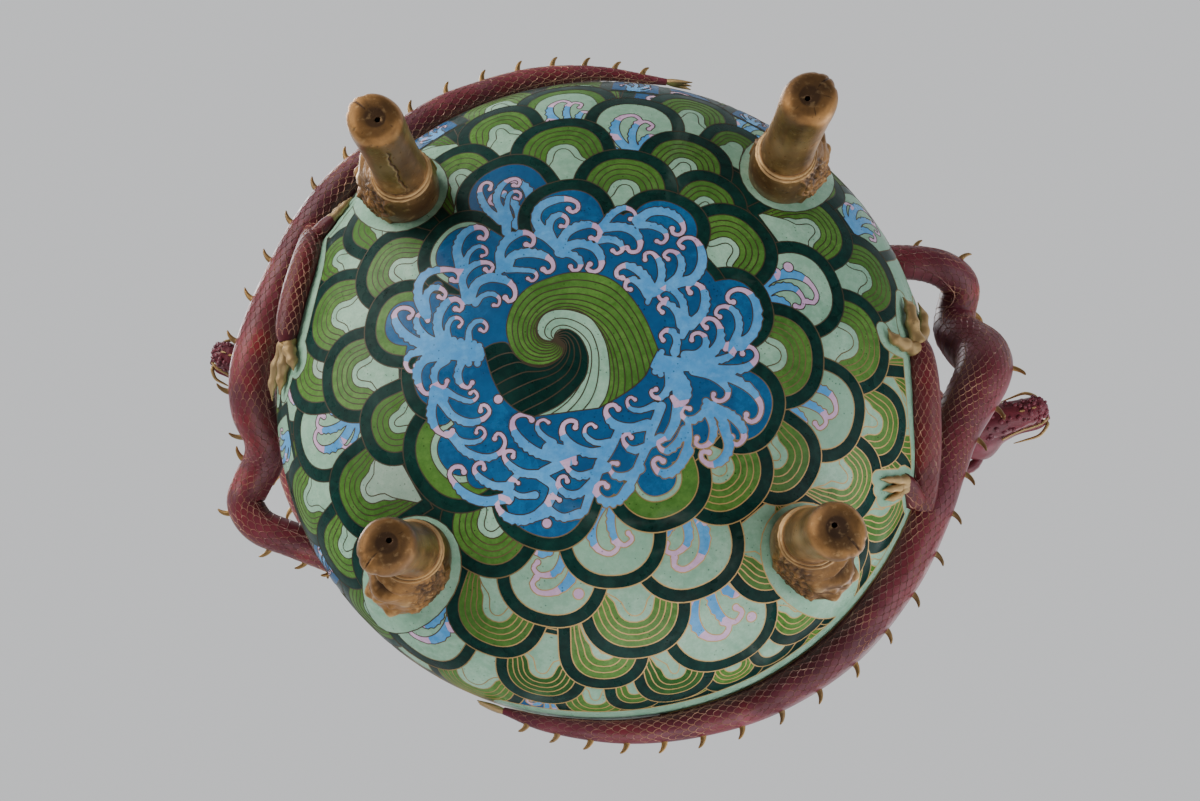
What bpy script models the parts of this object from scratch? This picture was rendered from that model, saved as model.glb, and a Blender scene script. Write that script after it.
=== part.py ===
"""Cloisonne incense burner: a round enamelled copper bowl with an everted gilt
rim, four cast cabriole legs with lion masks and paw feet, and two dragons that
wind round the belly and lift their heads beside the rim.

Metres, +Z up.  The floor is z = 0.  The origin is the middle of the floor
rectangle under the whole object; the bowl's own axis stands at AXIS_X, because
the two dragons do not reach out equally far.
"""
import math

import bmesh
import bpy
from mathutils import Matrix, Vector

# ------------------------------------------------------------------ sizes
MM = 0.001
BODY_R = 200 * MM          # greatest radius of the belly
BELLY_Z = 170 * MM         # height of the greatest radius above the floor
LOWER_H = 105 * MM         # depth of the belly below that height
UPPER_H = 92 * MM          # height of the ellipse that forms the shoulder
WALL = 4.5 * MM            # copper and enamel together
NECK_R = 147 * MM          # neck, outside
NECK_Z = 236 * MM          # foot of the neck
RIM_R = 170 * MM           # everted rim, outside
RIM_Z = 288 * MM           # top face of the rim
RIM_T = 7 * MM             # thickness of the rim's lip
RIM_FLAT = 12 * MM         # width of the rim's flat top
GAP = 0.3 * MM             # clearance between touching pieces
AXIS_X = -15.6 * MM        # the bowl's axis
BOWL_STEPS = 40

LEG_ANGLES = {"leg_back_left": -138.0, "leg_back_right": -48.0,
              "leg_front_left": 132.5, "leg_front_right": 43.5}
LEG_SIDES = 14
SOLE_HOLE_R = 2.2 * MM     # drilled hole in each sole
SOLE_HOLE_DEPTH = 14 * MM
SOLE_HOLE_AT = 171 * MM     # from the bowl's axis

SPINE_LEN = 10 * MM
SPINE_R = 2.0 * MM

# ------------------------------------------------------------ clean start
for old in list(bpy.data.objects):
    bpy.data.objects.remove(old, do_unlink=True)

PARTS = bpy.data.collections.new("cloisonne_incense_burner")
CUTTERS = bpy.data.collections.new("cutters")
bpy.context.scene.collection.children.link(PARTS)
bpy.context.scene.collection.children.link(CUTTERS)

AXIS = Vector((AXIS_X, 0.0, 0.0))


def material(name, colour, roughness, metallic):
    mat = bpy.data.materials.new(name)
    mat.use_nodes = True
    shader = mat.node_tree.nodes["Principled BSDF"]
    shader.inputs["Base Color"].default_value = (*colour, 1.0)
    shader.inputs["Roughness"].default_value = roughness
    shader.inputs["Metallic"].default_value = metallic
    return mat


ENAMEL = material("cloisonne_enamel", (0.10, 0.22, 0.12), 0.28, 0.0)
GILT = material("gilt_bronze", (0.42, 0.26, 0.11), 0.38, 1.0)
RED = material("plum_red_enamel", (0.16, 0.025, 0.035), 0.25, 0.0)


def make_object(name, mesh, collection=PARTS, mat=None):
    obj = bpy.data.objects.new(name, mesh)
    collection.objects.link(obj)
    if mat is not None:
        mesh.materials.append(mat)
    if collection is CUTTERS:
        obj.hide_render = True
        obj.display_type = "WIRE"
    return obj


def smooth_mesh(mesh, angle=40.0):
    mesh.shade_smooth()
    mesh.set_sharp_from_angle(angle=math.radians(angle))


def catmull(rows, per_span):
    """Smooth rows of numbers: a Catmull-Rom curve through every row."""
    rows = [tuple(r) for r in rows]
    first = tuple(2 * a - b for a, b in zip(rows[0], rows[1]))
    last = tuple(2 * a - b for a, b in zip(rows[-1], rows[-2]))
    pts = [first] + rows + [last]
    out = []
    for i in range(1, len(pts) - 2):
        for k in range(per_span):
            t = k / per_span
            out.append(tuple(
                0.5 * (2 * b + (c - a) * t + (2 * a - 5 * b + 4 * c - d) * t * t
                       + (3 * b - a - 3 * c + d) * t ** 3)
                for a, b, c, d in zip(pts[i - 1], pts[i], pts[i + 1], pts[i + 2])))
    out.append(rows[-1])
    return out


# ------------------------------------------------------------------- bowl
def belly_point(u, grow=0.0):
    """A point of the lower belly, u = 0 at the pole and pi/2 at the belly."""
    nr, nz = math.sin(u) / BODY_R, -math.cos(u) / LOWER_H
    n = math.hypot(nr, nz)
    return (BODY_R * math.sin(u) + grow * nr / n,
            BELLY_Z - LOWER_H * math.cos(u) + grow * nz / n)


def shoulder_point(v, grow=0.0):
    """A point of the shoulder, v = 0 at the belly."""
    nr, nz = math.cos(v) / BODY_R, math.sin(v) / UPPER_H
    n = math.hypot(nr, nz)
    return (BODY_R * math.cos(v) + grow * nr / n,
            BELLY_Z + UPPER_H * math.sin(v) + grow * nz / n)


SHOULDER_END = math.acos((NECK_R + 2 * MM) / BODY_R)


def wall_profile(grow, lower_steps, upper_steps):
    """Radius and height pairs from the top of the neck down to the pole."""
    top_z = RIM_Z - RIM_T
    pts = []
    for k in range(4):                       # flaring neck, concave outside
        t = k / 4
        bend = (1 - t) ** 2
        r = NECK_R + (RIM_R - RIM_FLAT - NECK_R) * bend
        z = top_z + (NECK_Z + 4 * MM - top_z) * t
        pts.append((r + grow, z))
    for k in range(upper_steps):
        v = SHOULDER_END * (1 - k / upper_steps)
        pts.append(shoulder_point(v, grow))
    for k in range(lower_steps + 1):
        u = math.pi / 2 * (1 - k / lower_steps)
        pts.append(belly_point(u, grow))
    pts[-1] = (0.0, pts[-1][1])
    return pts


def turned(name, profile, collection, mat=None, steps=BOWL_STEPS):
    """A profile turned round the bowl's axis."""
    mesh = bpy.data.meshes.new(name)
    mesh.from_pydata([(r, 0.0, z) for r, z in profile],
                     [(i, i + 1) for i in range(len(profile) - 1)], [])
    obj = make_object(name, mesh, collection, mat)
    obj.location = AXIS
    turn = obj.modifiers.new("Turn", "SCREW")
    turn.axis = "Z"
    turn.angle = math.tau
    turn.steps = turn.render_steps = steps
    turn.use_merge_vertices = True
    turn.merge_threshold = 0.0001
    turn.use_smooth_shade = True
    return obj


outer = wall_profile(0.0, 12, 4)
inner = wall_profile(-WALL, 9, 3)
inner_lip_r = inner[0][0]
bowl_profile = (
    list(reversed(inner))
    + [(inner_lip_r, RIM_Z - 1.0 * MM), (inner_lip_r + 1.0 * MM, RIM_Z),
       (RIM_R - 2.0 * MM, RIM_Z), (RIM_R, RIM_Z - 2.0 * MM),
       (RIM_R, RIM_Z - RIM_T + 1.5 * MM), (RIM_R - 2.0 * MM, RIM_Z - RIM_T)]
    + outer)
bowl = turned("bowl", bowl_profile, PARTS, ENAMEL)

# The outside of the bowl, filled and grown by the clearance: whatever sits on
# the bowl is cut back to it.
plug_profile = ([(0.0, RIM_Z + 60 * MM), (RIM_R + GAP, RIM_Z + 60 * MM),
                 (RIM_R + GAP, RIM_Z - RIM_T - GAP)]
                + wall_profile(GAP, 12, 4))
plug = turned("bowl_clearance", plug_profile, CUTTERS)


# ------------------------------------------------------------------- legs
def ring_loft(name, rings, collection=PARTS, mat=None):
    """Close a stack of equal-sided rings into one solid (rings run so that
    their points turn counter-clockwise about the direction of the stack)."""
    bm = bmesh.new()
    rows = [[bm.verts.new(p) for p in ring] for ring in rings]
    n = len(rows[0])
    for a, b in zip(rows, rows[1:]):
        for i in range(n):
            j = (i + 1) % n
            bm.faces.new((a[i], a[j], b[j], b[i]))
    for row, flip in ((rows[0], True), (rows[-1], False)):
        centre = bm.verts.new(sum((v.co for v in row), Vector()) / n)
        for i in range(n):
            j = (i + 1) % n
            bm.faces.new((row[j], row[i], centre) if flip else (row[i], row[j], centre))
    mesh = bpy.data.meshes.new(name)
    bm.to_mesh(mesh)
    bm.free()
    return make_object(name, mesh, collection, mat)


# One row for each level of a leg: height, radius of the middle line from the
# bowl's axis, half width, half depth towards the bowl's axis, half depth
# outwards, and how far the mask, the brow and the toes stand out.
LEG_LEVELS = [
    (0.0, 172.5, 12.6, 12.0, 14.2, 0.0),
    (2.0, 172.5, 15.0, 14.6, 17.6, 0.6),
    (6.0, 172.5, 16.4, 16.2, 19.8, 1.0),
    (13.0, 172.0, 16.4, 16.4, 19.2, 1.0),
    (21.0, 170.5, 15.6, 15.8, 16.2, 0.4),
    (34.0, 167.5, 15.0, 15.2, 13.6, 0.0),
    (48.0, 164.0, 15.0, 15.0, 13.2, 0.0),
    (60.0, 161.0, 15.6, 15.2, 14.6, 0.0),
    (68.0, 159.5, 16.4, 16.2, 17.0, 0.0),
    (71.0, 159.0, 19.0, 18.6, 22.0, 0.0),
    (80.0, 159.0, 20.6, 20.6, 27.0, 0.0),
    (92.0, 160.5, 21.2, 22.6, 29.5, 0.0),
    (104.0, 163.0, 21.0, 23.5, 29.5, 0.0),
    (118.0, 166.0, 19.4, 22.0, 25.5, 0.0),
    (132.0, 168.0, 15.0, 16.0, 18.0, 0.0),
]


def mask_relief(a, z):
    """How far the lion mask stands out at angle a from the outward side."""
    side = math.cos(a)
    if side < 0.05:
        return 0.0
    muzzle = 4.2 * math.exp(-((a / 0.55) ** 2) - ((z - 82) / 8.0) ** 2)
    brow = 3.0 * math.exp(-(((abs(a) - 0.55) / 0.4) ** 2) - ((z - 103) / 8.0) ** 2)
    cheek = 2.4 * math.exp(-(((abs(a) - 0.95) / 0.4) ** 2) - ((z - 88) / 9.0) ** 2)
    return muzzle + brow + cheek


def leg_rings():
    rings = []
    for z, mid, half_w, depth_in, depth_out, toe in LEG_LEVELS:
        ring = []
        for k in range(LEG_SIDES):
            a = math.tau * k / LEG_SIDES
            ca, sa = math.cos(a), math.sin(a)
            depth = depth_out if ca > 0 else depth_in
            x = depth * ca
            y = half_w * sa
            swell = 1.0
            a_signed = a if a <= math.pi else a - math.tau
            if toe and ca > 0.2:             # three toes on the outward side
                swell += toe * 0.07 * math.cos(3 * a_signed)
            out = mask_relief(a_signed, z)
            ring.append(Vector(((mid + x * swell + out * ca) * MM,
                                (y * swell + out * sa) * MM, z * MM)))
        rings.append(ring)
    return rings


for leg_name, angle in LEG_ANGLES.items():
    leg = ring_loft(leg_name, leg_rings(), PARTS, GILT)
    leg.location = AXIS
    leg.rotation_euler = (0.0, 0.0, math.radians(angle))
    bpy.ops.mesh.primitive_cylinder_add(vertices=8, radius=SOLE_HOLE_R,
                                        depth=2 * SOLE_HOLE_DEPTH,
                                        location=(0, 0, 0))
    drill = bpy.context.object
    drill.name = leg_name + "_hole"
    for coll in list(drill.users_collection):
        coll.objects.unlink(drill)
    CUTTERS.objects.link(drill)
    drill.hide_render = True
    drill.display_type = "WIRE"
    turn = Matrix.Rotation(math.radians(angle), 4, "Z")
    drill.location = AXIS + turn @ Vector((SOLE_HOLE_AT, 0.0, 0.0))
    for label, cutter in (("Seat", plug), ("Hole", drill)):
        cut = leg.modifiers.new(label, "BOOLEAN")
        cut.operation = "DIFFERENCE"
        cut.solver = "EXACT"
        cut.object = cutter
    smooth_mesh(leg.data, 50)


# ---------------------------------------------------------------- dragons
def polar(theta, r, z):
    a = math.radians(theta)
    return Vector((r * MM * math.cos(a), r * MM * math.sin(a), z * MM))


def frames(points, up_hint):
    """A tangent, outward and side vector at each point of a path."""
    out = []
    for i, p in enumerate(points):
        a = points[max(i - 1, 0)]
        b = points[min(i + 1, len(points) - 1)]
        t = (b - a).normalized()
        hint = up_hint(p)
        n = (hint - t * hint.dot(t)).normalized()
        out.append((t, n, t.cross(n)))
    return out


def outward(p):
    """Away from the bowl's middle."""
    return Vector((p.x, p.y, (p.z - BELLY_Z) * 0.9)).normalized()


def tube(name, stations, per_span, sides, squash=1.0):
    """A round limb through stations of (angle, radius, height, thickness)."""
    rows = catmull([(*polar(t, r, z), w * MM) for t, r, z, w in stations], per_span)
    pts = [Vector(r[:3]) for r in rows]
    widths = [max(r[3], 0.4 * MM) for r in rows]
    rings = []
    for p, w, (t, n, s) in zip(pts, widths, frames(pts, outward)):
        rings.append([p + (n * math.cos(math.tau * k / sides) * squash
                           + s * math.sin(math.tau * k / sides)) * w
                      for k in range(sides)])
    return ring_loft(name, rings, CUTTERS), pts, widths


def join_to(target, pieces):
    """Fuse pieces into the target, one after another."""
    for i, piece in enumerate(pieces):
        fuse = target.modifiers.new("Fuse%d" % i, "BOOLEAN")
        fuse.operation = "UNION"
        fuse.solver = "EXACT"
        fuse.object = piece


# Stations of a body: angle round the bowl in degrees, radius and height in
# millimetres, and half thickness.  They run from the tail's tip, along the
# belly, out in two bends, over the shoulder and into the head.
RIGHT_BODY = [
    (107.0, 203.5, 168, 2.2), (99, 206, 166, 4.2), (87, 208.5, 165, 6.0),
    (75, 210, 166, 7.6), (62, 212, 168, 9.2), (47.5, 213, 168, 10.6),
    (33, 211, 167, 12.0), (21, 209.5, 168, 13.4), (12.5, 211, 174, 14.0),
    (5.5, 216, 182, 14.8), (0, 226, 190, 16.0), (-4.8, 237, 199, 17.2),
    (-8.4, 241, 211, 17.8), (-11.6, 236, 223, 16.6), (-14.6, 233, 233, 14.2),
    (-17.8, 238, 237, 12.8), (-21, 245, 230, 12.2), (-24.2, 236, 221, 11.6),
    (-27.6, 216, 218, 10.8), (-31.5, 193, 226, 10.8), (-33.5, 183, 244, 10.8),
    (-27, 188, 261, 10.8), (-17, 199, 274, 11.0), (-8, 211, 284, 11.6),
    (-2.5, 225, 290, 13.2)]
RIGHT_HEAD = [(-2.5, 219, 289, 12.6), (-1.6, 233, 291, 15.4), (-1.8, 246, 292, 15.6),
              (-2.6, 259, 291, 12.4), (-3.2, 272, 290, 10.6), (-3.8, 285, 290, 10.4),
              (-4.2, 292, 289, 7.0)]
LEFT_BODY = [
    (281, 207, 168, 2.2), (269, 208, 166, 4.6), (258.5, 210, 167, 6.4),
    (248, 210, 168, 8.0), (238, 209.5, 167, 9.6), (221, 211, 168, 11.0),
    (210, 211, 168, 12.0), (199.5, 211, 170, 13.0), (191, 214, 172, 13.6),
    (184, 217, 177, 14.0), (178.5, 216, 186, 14.0), (174.5, 211, 198, 13.4),
    (171.5, 214, 209, 12.6), (168.5, 224, 216, 12.0), (165.5, 231, 219, 11.6),
    (161.5, 226, 221, 11.2), (157.5, 209, 225, 11.0), (152.5, 191, 234, 10.8),
    (150.5, 183, 249, 10.8), (157, 189, 263, 10.8), (168, 198, 275, 11.0),
    (180, 207, 284, 11.6), (189, 213, 290, 13.0)]
LEFT_HEAD = [(188.5, 208, 289, 12.6), (190.5, 220, 291, 15.4), (191.5, 231, 292, 15.6),
             (191.8, 242, 291, 12.4), (192.2, 250, 290, 10.6), (192.6, 259, 290, 10.0),
             (192.8, 265, 289, 6.6)]

# Limbs and claws lie on the enamel below the belly.
RIGHT_LIMBS = [
    [(21, 203.3, 160, 9.5), (14, 198, 146.6, 9.3), (7, 193.5, 135.7, 9.0), (0.5, 191.5, 131.6, 8.5),
     (-4.5, 190.2, 130.3, 7.3), (-7.0, 188.3, 129.3, 5.0)],
    [(21, 199, 150, 7.0), (19.5, 192, 141, 5.6), (19.2, 188, 134, 4.2)]]
RIGHT_CLAWS = [
    [(-5.0, 187.5, 128, 4.4), (-5.4, 180, 119, 3.8), (-6.4, 173, 113.5, 3.2), (-8.4, 170, 111.5, 1.2)],
    [(-5.8, 189, 129, 4.8), (-9.5, 187.5, 126, 3.8), (-12.8, 188.5, 128, 3.4), (-15.6, 187, 131, 1.4)],
    [(-6.0, 190, 131, 4.2), (-8.5, 195, 140, 3.4), (-12.5, 199, 148, 2.8), (-15.5, 199, 152, 1.2)],
    [(19.2, 189.5, 135, 3.4), (20.4, 184, 126, 2.6), (22.0, 175, 117.5, 1.4)],
    [(19.6, 190, 136, 3.2), (21.8, 185, 127, 2.6), (23.6, 178.5, 120.5, 1.4)],
    [(20.2, 190.5, 137, 3.2), (23.0, 187, 130, 2.4), (24.8, 182, 124.5, 1.4)]]
LEFT_LIMBS = [
    [(209, 204, 160, 8.2), (206, 199.5, 147, 8.3), (201, 195, 135, 8.3), (195, 193.2, 131, 8.0),
     (189, 192.2, 130.2, 7.1), (186.4, 191, 130, 4.9)],
    [(208.5, 200, 150, 5.6), (210.5, 197, 143, 4.6), (212, 195, 141, 3.4)]]
LEFT_CLAWS = [
    [(187.0, 190.5, 131, 4.2), (184.6, 188.5, 126, 3.8), (182.4, 186, 125.5, 3.2), (181.0, 185.5, 128, 1.2)],
    [(186.6, 192, 132, 4.4), (183.5, 192, 133, 3.6), (180.4, 193.5, 137, 3.2), (177.6, 195, 141, 1.3)],
    [(186.8, 193, 136, 4.0), (183.0, 198, 144, 3.2), (180.0, 200.5, 150, 2.6), (177.5, 201, 153, 1.2)],
    [(211.0, 197, 143, 3.0), (213.5, 196.5, 144, 2.4), (216.5, 198.5, 151, 1.3)],
    [(211.4, 196.5, 142, 3.0), (214.2, 194, 139, 2.4), (217.0, 193.5, 139, 1.3)]]

# Where the gilt spines stand: part of the way along the body.
SPINE_SPAN = (0.05, 0.90)
SPINE_COUNT = 18


def head_rings(stations, sides, per_span):
    """Rings of a head: round at the neck, broad at the brow, and drawn out into
    a flat snout that lifts at the nose."""
    rows = catmull([(*polar(t, r, z), w * MM) for t, r, z, w in stations], per_span)
    pts = [Vector(r[:3]) for r in rows]
    rings = []
    span = len(rows) - 1
    for i, (p, row) in enumerate(zip(pts, rows)):
        a = pts[max(i - 1, 0)]
        b = pts[min(i + 1, span)]
        t = (b - a).normalized()
        up = (Vector((0, 0, 1)) - t * t.z).normalized()
        side = t.cross(up)
        f = i / span
        broad = 1.0 + 0.10 * math.sin(math.pi * min(1.0, f * 1.6))
        flat = 1.0 - 0.22 * min(1.0, max(0.0, (f - 0.4) / 0.3))
        ring = []
        for k in range(sides):
            ang = math.tau * k / sides
            c, s = math.cos(ang), math.sin(ang)
            brow = 0.0
            if c > 0 and 0.25 < f < 0.55:
                brow = 0.16 * abs(s) * c * 2.0
            ring.append(p + (up * c * (flat + brow) + side * s * broad) * row[3])
        rings.append(ring)
    return rings


def make_dragon(name, body, head, limbs, claws, spine_step_sign):
    sides = 8
    rows = catmull([(*polar(t, r, z), w * MM) for t, r, z, w in body], 2)
    pts = [Vector(r[:3]) for r in rows]
    widths = [r[3] for r in rows]
    fr = frames(pts, outward)
    rings = []
    for p, w, (t, n, s) in zip(pts, widths, fr):
        rings.append([p + (n * math.cos(math.tau * k / sides)
                           + s * math.sin(math.tau * k / sides)) * w
                      for k in range(sides)])
    dragon = ring_loft(name, rings, PARTS, RED)
    dragon.location = AXIS
    pieces = []
    skull = ring_loft(name + "_skull", head_rings(head, 8, 2), CUTTERS)
    pieces.append(skull)
    for i, limb in enumerate(limbs):
        pieces.append(tube("%s_limb%d" % (name, i), limb, 2, 6)[0])
    for i, claw in enumerate(claws):
        pieces.append(tube("%s_claw%d" % (name, i), claw, 2, 4)[0])
    # lower jaw, two horns and two curled whiskers
    base_t, base_r, base_z, base_w = head[2]
    nose_t, nose_r, nose_z, nose_w = head[-2]
    pieces.append(tube(name + "_jaw", [
        (base_t, base_r - 6, base_z - 8, 9.4), (base_t * 0.6 + nose_t * 0.4, base_r + 8, base_z - 11, 9.2),
        (nose_t, nose_r - 16, nose_z - 11, 7.6), (nose_t, nose_r - 5, nose_z - 10.5, 4.8)], 1, 6)[0])
    for j, sgn in enumerate((-1, 1)):
        # horns sweep back from the brow
        pieces.append(tube("%s_horn%d" % (name, j), [
            (base_t + sgn * 1.6, base_r - 2, base_z + 9, 3.6),
            (base_t + sgn * 3.0, base_r - 14, base_z + 21, 3.2),
            (base_t + sgn * 4.6, base_r - 30, base_z + 27, 2.4),
            (base_t + sgn * 6.0, base_r - 44, base_z + 26, 1.0)], 1, 4)[0])
    # spines
    span_lo, span_hi = SPINE_SPAN
    for j in range(SPINE_COUNT):
        f = span_lo + (span_hi - span_lo) * j / (SPINE_COUNT - 1)
        i = round(f * (len(pts) - 1))
        p, w, (t, n, s) = pts[i], widths[i], fr[i]
        length = SPINE_LEN * (0.55 + 0.45 * min(1.0, w / (10 * MM)))
        lean = -t                                  # hooked towards the tail
        root = p + n * (w - 1.6 * MM)
        tip = p + n * (w + length * 0.86) + lean * length * 0.42
        axis = (tip - root)
        a1 = axis.normalized()
        b1 = a1.cross(t).normalized()
        c1 = a1.cross(b1)
        rings = []
        for q, rad in ((0.0, SPINE_R), (1.0, 0.5 * MM)):
            mid = root + axis * q
            rings.append([mid + (b1 * math.cos(math.tau * k / 4) + c1 * math.sin(math.tau * k / 4)) * rad
                          for k in range(4)])
        pieces.append(ring_loft("%s_spine%d" % (name, j), rings, CUTTERS))
    for piece in pieces:
        piece.location = AXIS
    join_to(dragon, pieces)
    cut = dragon.modifiers.new("Seat", "BOOLEAN")
    cut.operation = "DIFFERENCE"
    cut.solver = "EXACT"
    cut.object = plug
    smooth_mesh(dragon.data, 50)
    return dragon


make_dragon("dragon_right", RIGHT_BODY, RIGHT_HEAD, RIGHT_LIMBS, RIGHT_CLAWS, 1)
make_dragon("dragon_left", LEFT_BODY, LEFT_HEAD, LEFT_LIMBS, LEFT_CLAWS, -1)
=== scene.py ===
import math
import random

import bmesh
import bpy
import numpy as np
from mathutils import Matrix, Vector, geometry, noise


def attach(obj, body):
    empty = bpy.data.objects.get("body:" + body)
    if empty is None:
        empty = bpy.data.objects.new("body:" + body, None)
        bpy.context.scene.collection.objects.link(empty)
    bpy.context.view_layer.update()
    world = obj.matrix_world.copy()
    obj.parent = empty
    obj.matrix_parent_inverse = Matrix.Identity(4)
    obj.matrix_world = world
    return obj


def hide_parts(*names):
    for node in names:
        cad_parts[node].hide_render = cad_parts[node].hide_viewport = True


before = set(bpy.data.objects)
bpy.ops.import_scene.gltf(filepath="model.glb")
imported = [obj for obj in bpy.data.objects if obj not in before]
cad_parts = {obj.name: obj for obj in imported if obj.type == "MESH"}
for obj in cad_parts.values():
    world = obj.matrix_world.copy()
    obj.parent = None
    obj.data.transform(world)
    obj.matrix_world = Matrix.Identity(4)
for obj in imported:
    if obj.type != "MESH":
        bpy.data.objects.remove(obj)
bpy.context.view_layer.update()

# ------------------------------------------------------------------ sizes
MM = 0.001
BODY_R, BELLY_Z, LOWER_H, UPPER_H = 200.0, 170.0, 105.0, 92.0
NECK_R, NECK_Z, RIM_R, RIM_Z, RIM_T, RIM_FLAT = 147.0, 236.0, 170.0, 288.0, 7.0, 12.0
WALL = 4.5
AXIS_X = -15.6
AXIS = Vector((AXIS_X, 0.0, 0.0)) * MM
SHOULDER_END = math.acos((NECK_R + 2) / BODY_R)
LEG_ANGLES = {"leg_back_left": -138.0, "leg_back_right": -48.0,
              "leg_front_left": 132.5, "leg_front_right": 43.5}
TAU = math.tau
rng = random.Random(7)


# -------------------------------------------------------------- materials
def lin(hexa):
    out = []
    for i in (0, 2, 4):
        c = int(hexa[i:i + 2], 16) / 255
        out.append(c / 12.92 if c <= 0.04045 else ((c + 0.055) / 1.055) ** 2.4)
    return (*out, 1.0)


class Look:
    """A small helper round one material's nodes."""

    def __init__(self, name):
        self.mat = bpy.data.materials.new(name)
        self.mat.use_nodes = True
        self.tree = self.mat.node_tree
        self.shader = self.tree.nodes["Principled BSDF"]
        self.pos = self.add("ShaderNodeTexCoord").outputs["Object"]

    def add(self, kind, **props):
        node = self.tree.nodes.new(kind)
        for k, v in props.items():
            setattr(node, k, v)
        return node

    def set(self, socket, value):
        if hasattr(value, "is_linked") or isinstance(value, bpy.types.NodeSocket):
            self.tree.links.new(value, socket)
        else:
            socket.default_value = value

    def noise(self, scale, detail=3.0, rough=0.5, distortion=0.0, vec=None):
        n = self.add("ShaderNodeTexNoise")
        self.set(n.inputs["Vector"], vec or self.pos)
        n.inputs["Scale"].default_value = scale
        n.inputs["Detail"].default_value = detail
        n.inputs["Roughness"].default_value = rough
        n.inputs["Distortion"].default_value = distortion
        return n.outputs["Fac"]

    def voronoi(self, scale, feature="F1", out="Distance", rand=1.0):
        n = self.add("ShaderNodeTexVoronoi", feature=feature)
        self.set(n.inputs["Vector"], self.pos)
        n.inputs["Scale"].default_value = scale
        n.inputs["Randomness"].default_value = rand
        return n.outputs[out]

    def ramp(self, fac, lo, hi, a=0.0, b=1.0):
        n = self.add("ShaderNodeMapRange", interpolation_type="SMOOTHSTEP")
        self.set(n.inputs["Value"], fac)
        n.inputs["From Min"].default_value = lo
        n.inputs["From Max"].default_value = hi
        n.inputs["To Min"].default_value = a
        n.inputs["To Max"].default_value = b
        return n.outputs["Result"]

    def math(self, op, a, b=0.0):
        n = self.add("ShaderNodeMath", operation=op)
        self.set(n.inputs[0], a)
        self.set(n.inputs[1], b)
        return n.outputs[0]

    def mix(self, fac, a, b, blend="MIX"):
        n = self.add("ShaderNodeMix", data_type="RGBA", blend_type=blend)
        self.set(n.inputs["Factor"], fac)
        self.set(n.inputs["A"], a)
        self.set(n.inputs["B"], b)
        return next(o for o in n.outputs if o.type == "RGBA")

    def attr(self, name):
        return self.add("ShaderNodeAttribute", attribute_name=name).outputs["Fac"]

    def bump(self, height, strength, distance):
        n = self.add("ShaderNodeBump")
        self.set(n.inputs["Height"], height)
        n.inputs["Strength"].default_value = strength
        n.inputs["Distance"].default_value = distance
        self.tree.links.new(n.outputs["Normal"], self.shader.inputs["Normal"])

    def put(self, **values):
        for k, v in values.items():
            self.set(self.shader.inputs[k.replace("_", " ")], v)


def enamel(name, main, shade, light, pit="2a3a34", rough=0.24, pits=1.0):
    """Polished enamel: cloudy colour, cell to cell change, pin holes, dull patches."""
    k = Look(name)
    cloud = k.ramp(k.noise(28.0, 4.0, 0.6), 0.33, 0.68)
    fine = k.ramp(k.noise(210.0, 3.0, 0.55), 0.35, 0.7)
    grain = k.ramp(k.noise(620.0, 2.0, 0.6), 0.40, 0.66)
    col = k.mix(cloud, lin(shade), lin(main))
    col = k.mix(k.math("MULTIPLY", fine, 0.36), col, lin(light))
    col = k.mix(k.math("MULTIPLY", grain, 0.30), col, lin(shade))
    tint = k.attr("tint")
    col = k.mix(k.ramp(tint, 0.0, 1.0, 0.0, 0.60), col, lin(shade))
    worn = k.ramp(k.noise(9.0, 5.0, 0.65, 0.8), 0.60, 0.76)
    col = k.mix(k.math("MULTIPLY", worn, 0.16), col, lin("8f9c90"))
    # dirt that stays in small cloudy patches
    dirt = k.math("MULTIPLY", k.ramp(k.noise(34.0, 5.0, 0.7, 1.2), 0.62, 0.80),
                  k.ramp(k.noise(150.0, 3.0), 0.42, 0.66))
    col = k.mix(k.math("MULTIPLY", dirt, 0.45), col, lin(pit))
    cell = k.voronoi(330.0)
    pick = k.ramp(k.noise(95.0, 2.0), 0.47, 0.60)
    hole = k.math("MULTIPLY", k.ramp(cell, 0.10, 0.20, 1.0, 0.0), pick)
    small = k.math("MULTIPLY", k.ramp(k.voronoi(900.0), 0.10, 0.22, 1.0, 0.0),
                   k.ramp(k.noise(160.0, 2.0), 0.48, 0.62))
    spots = k.math("MAXIMUM", hole, k.math("MULTIPLY", small, 0.6))
    col = k.mix(k.math("MULTIPLY", spots, 0.85 * pits), col, lin(pit))
    k.put(Base_Color=col, Metallic=0.0,
          Roughness=k.math("ADD", k.ramp(k.noise(60.0, 4.0), 0.3, 0.75, rough, rough + 0.20),
                           k.math("MULTIPLY", worn, 0.18)))
    k.shader.inputs["Specular IOR Level"].default_value = 0.14
    height = k.math("SUBTRACT", k.math("MULTIPLY", k.noise(140.0, 3.0), 0.5), spots)
    k.bump(height, 0.35, 0.00025)
    return k.mat


ENAMELS = [
    enamel("enamel_dark_green", "0b302b", "06201c", "15463c", "020908"),
    enamel("enamel_leaf_green", "527c33", "3b6226", "70994a", "1b3614"),
    enamel("enamel_celadon", "92b99f", "759f86", "aecdb6", "456a58"),
    enamel("enamel_deep_blue", "175a8a", "0f4470", "2674a6", "08243e"),
    enamel("enamel_light_blue", "559fd6", "3f86c0", "7bb8e4", "1f5277"),
    enamel("enamel_lilac", "d3b3cc", "b893b8", "e2c8da", "765876"),
    enamel("enamel_moss_green", "335f26", "21461f", "528236", "142a14"),
    enamel("enamel_grey_celadon", "9cb2a0", "829f8d", "b8c6b6", "53695e"),
]
DARK, LEAF, CELADON, DEEP, LIGHT, LILAC, MOSS, GREY = range(8)


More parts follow.
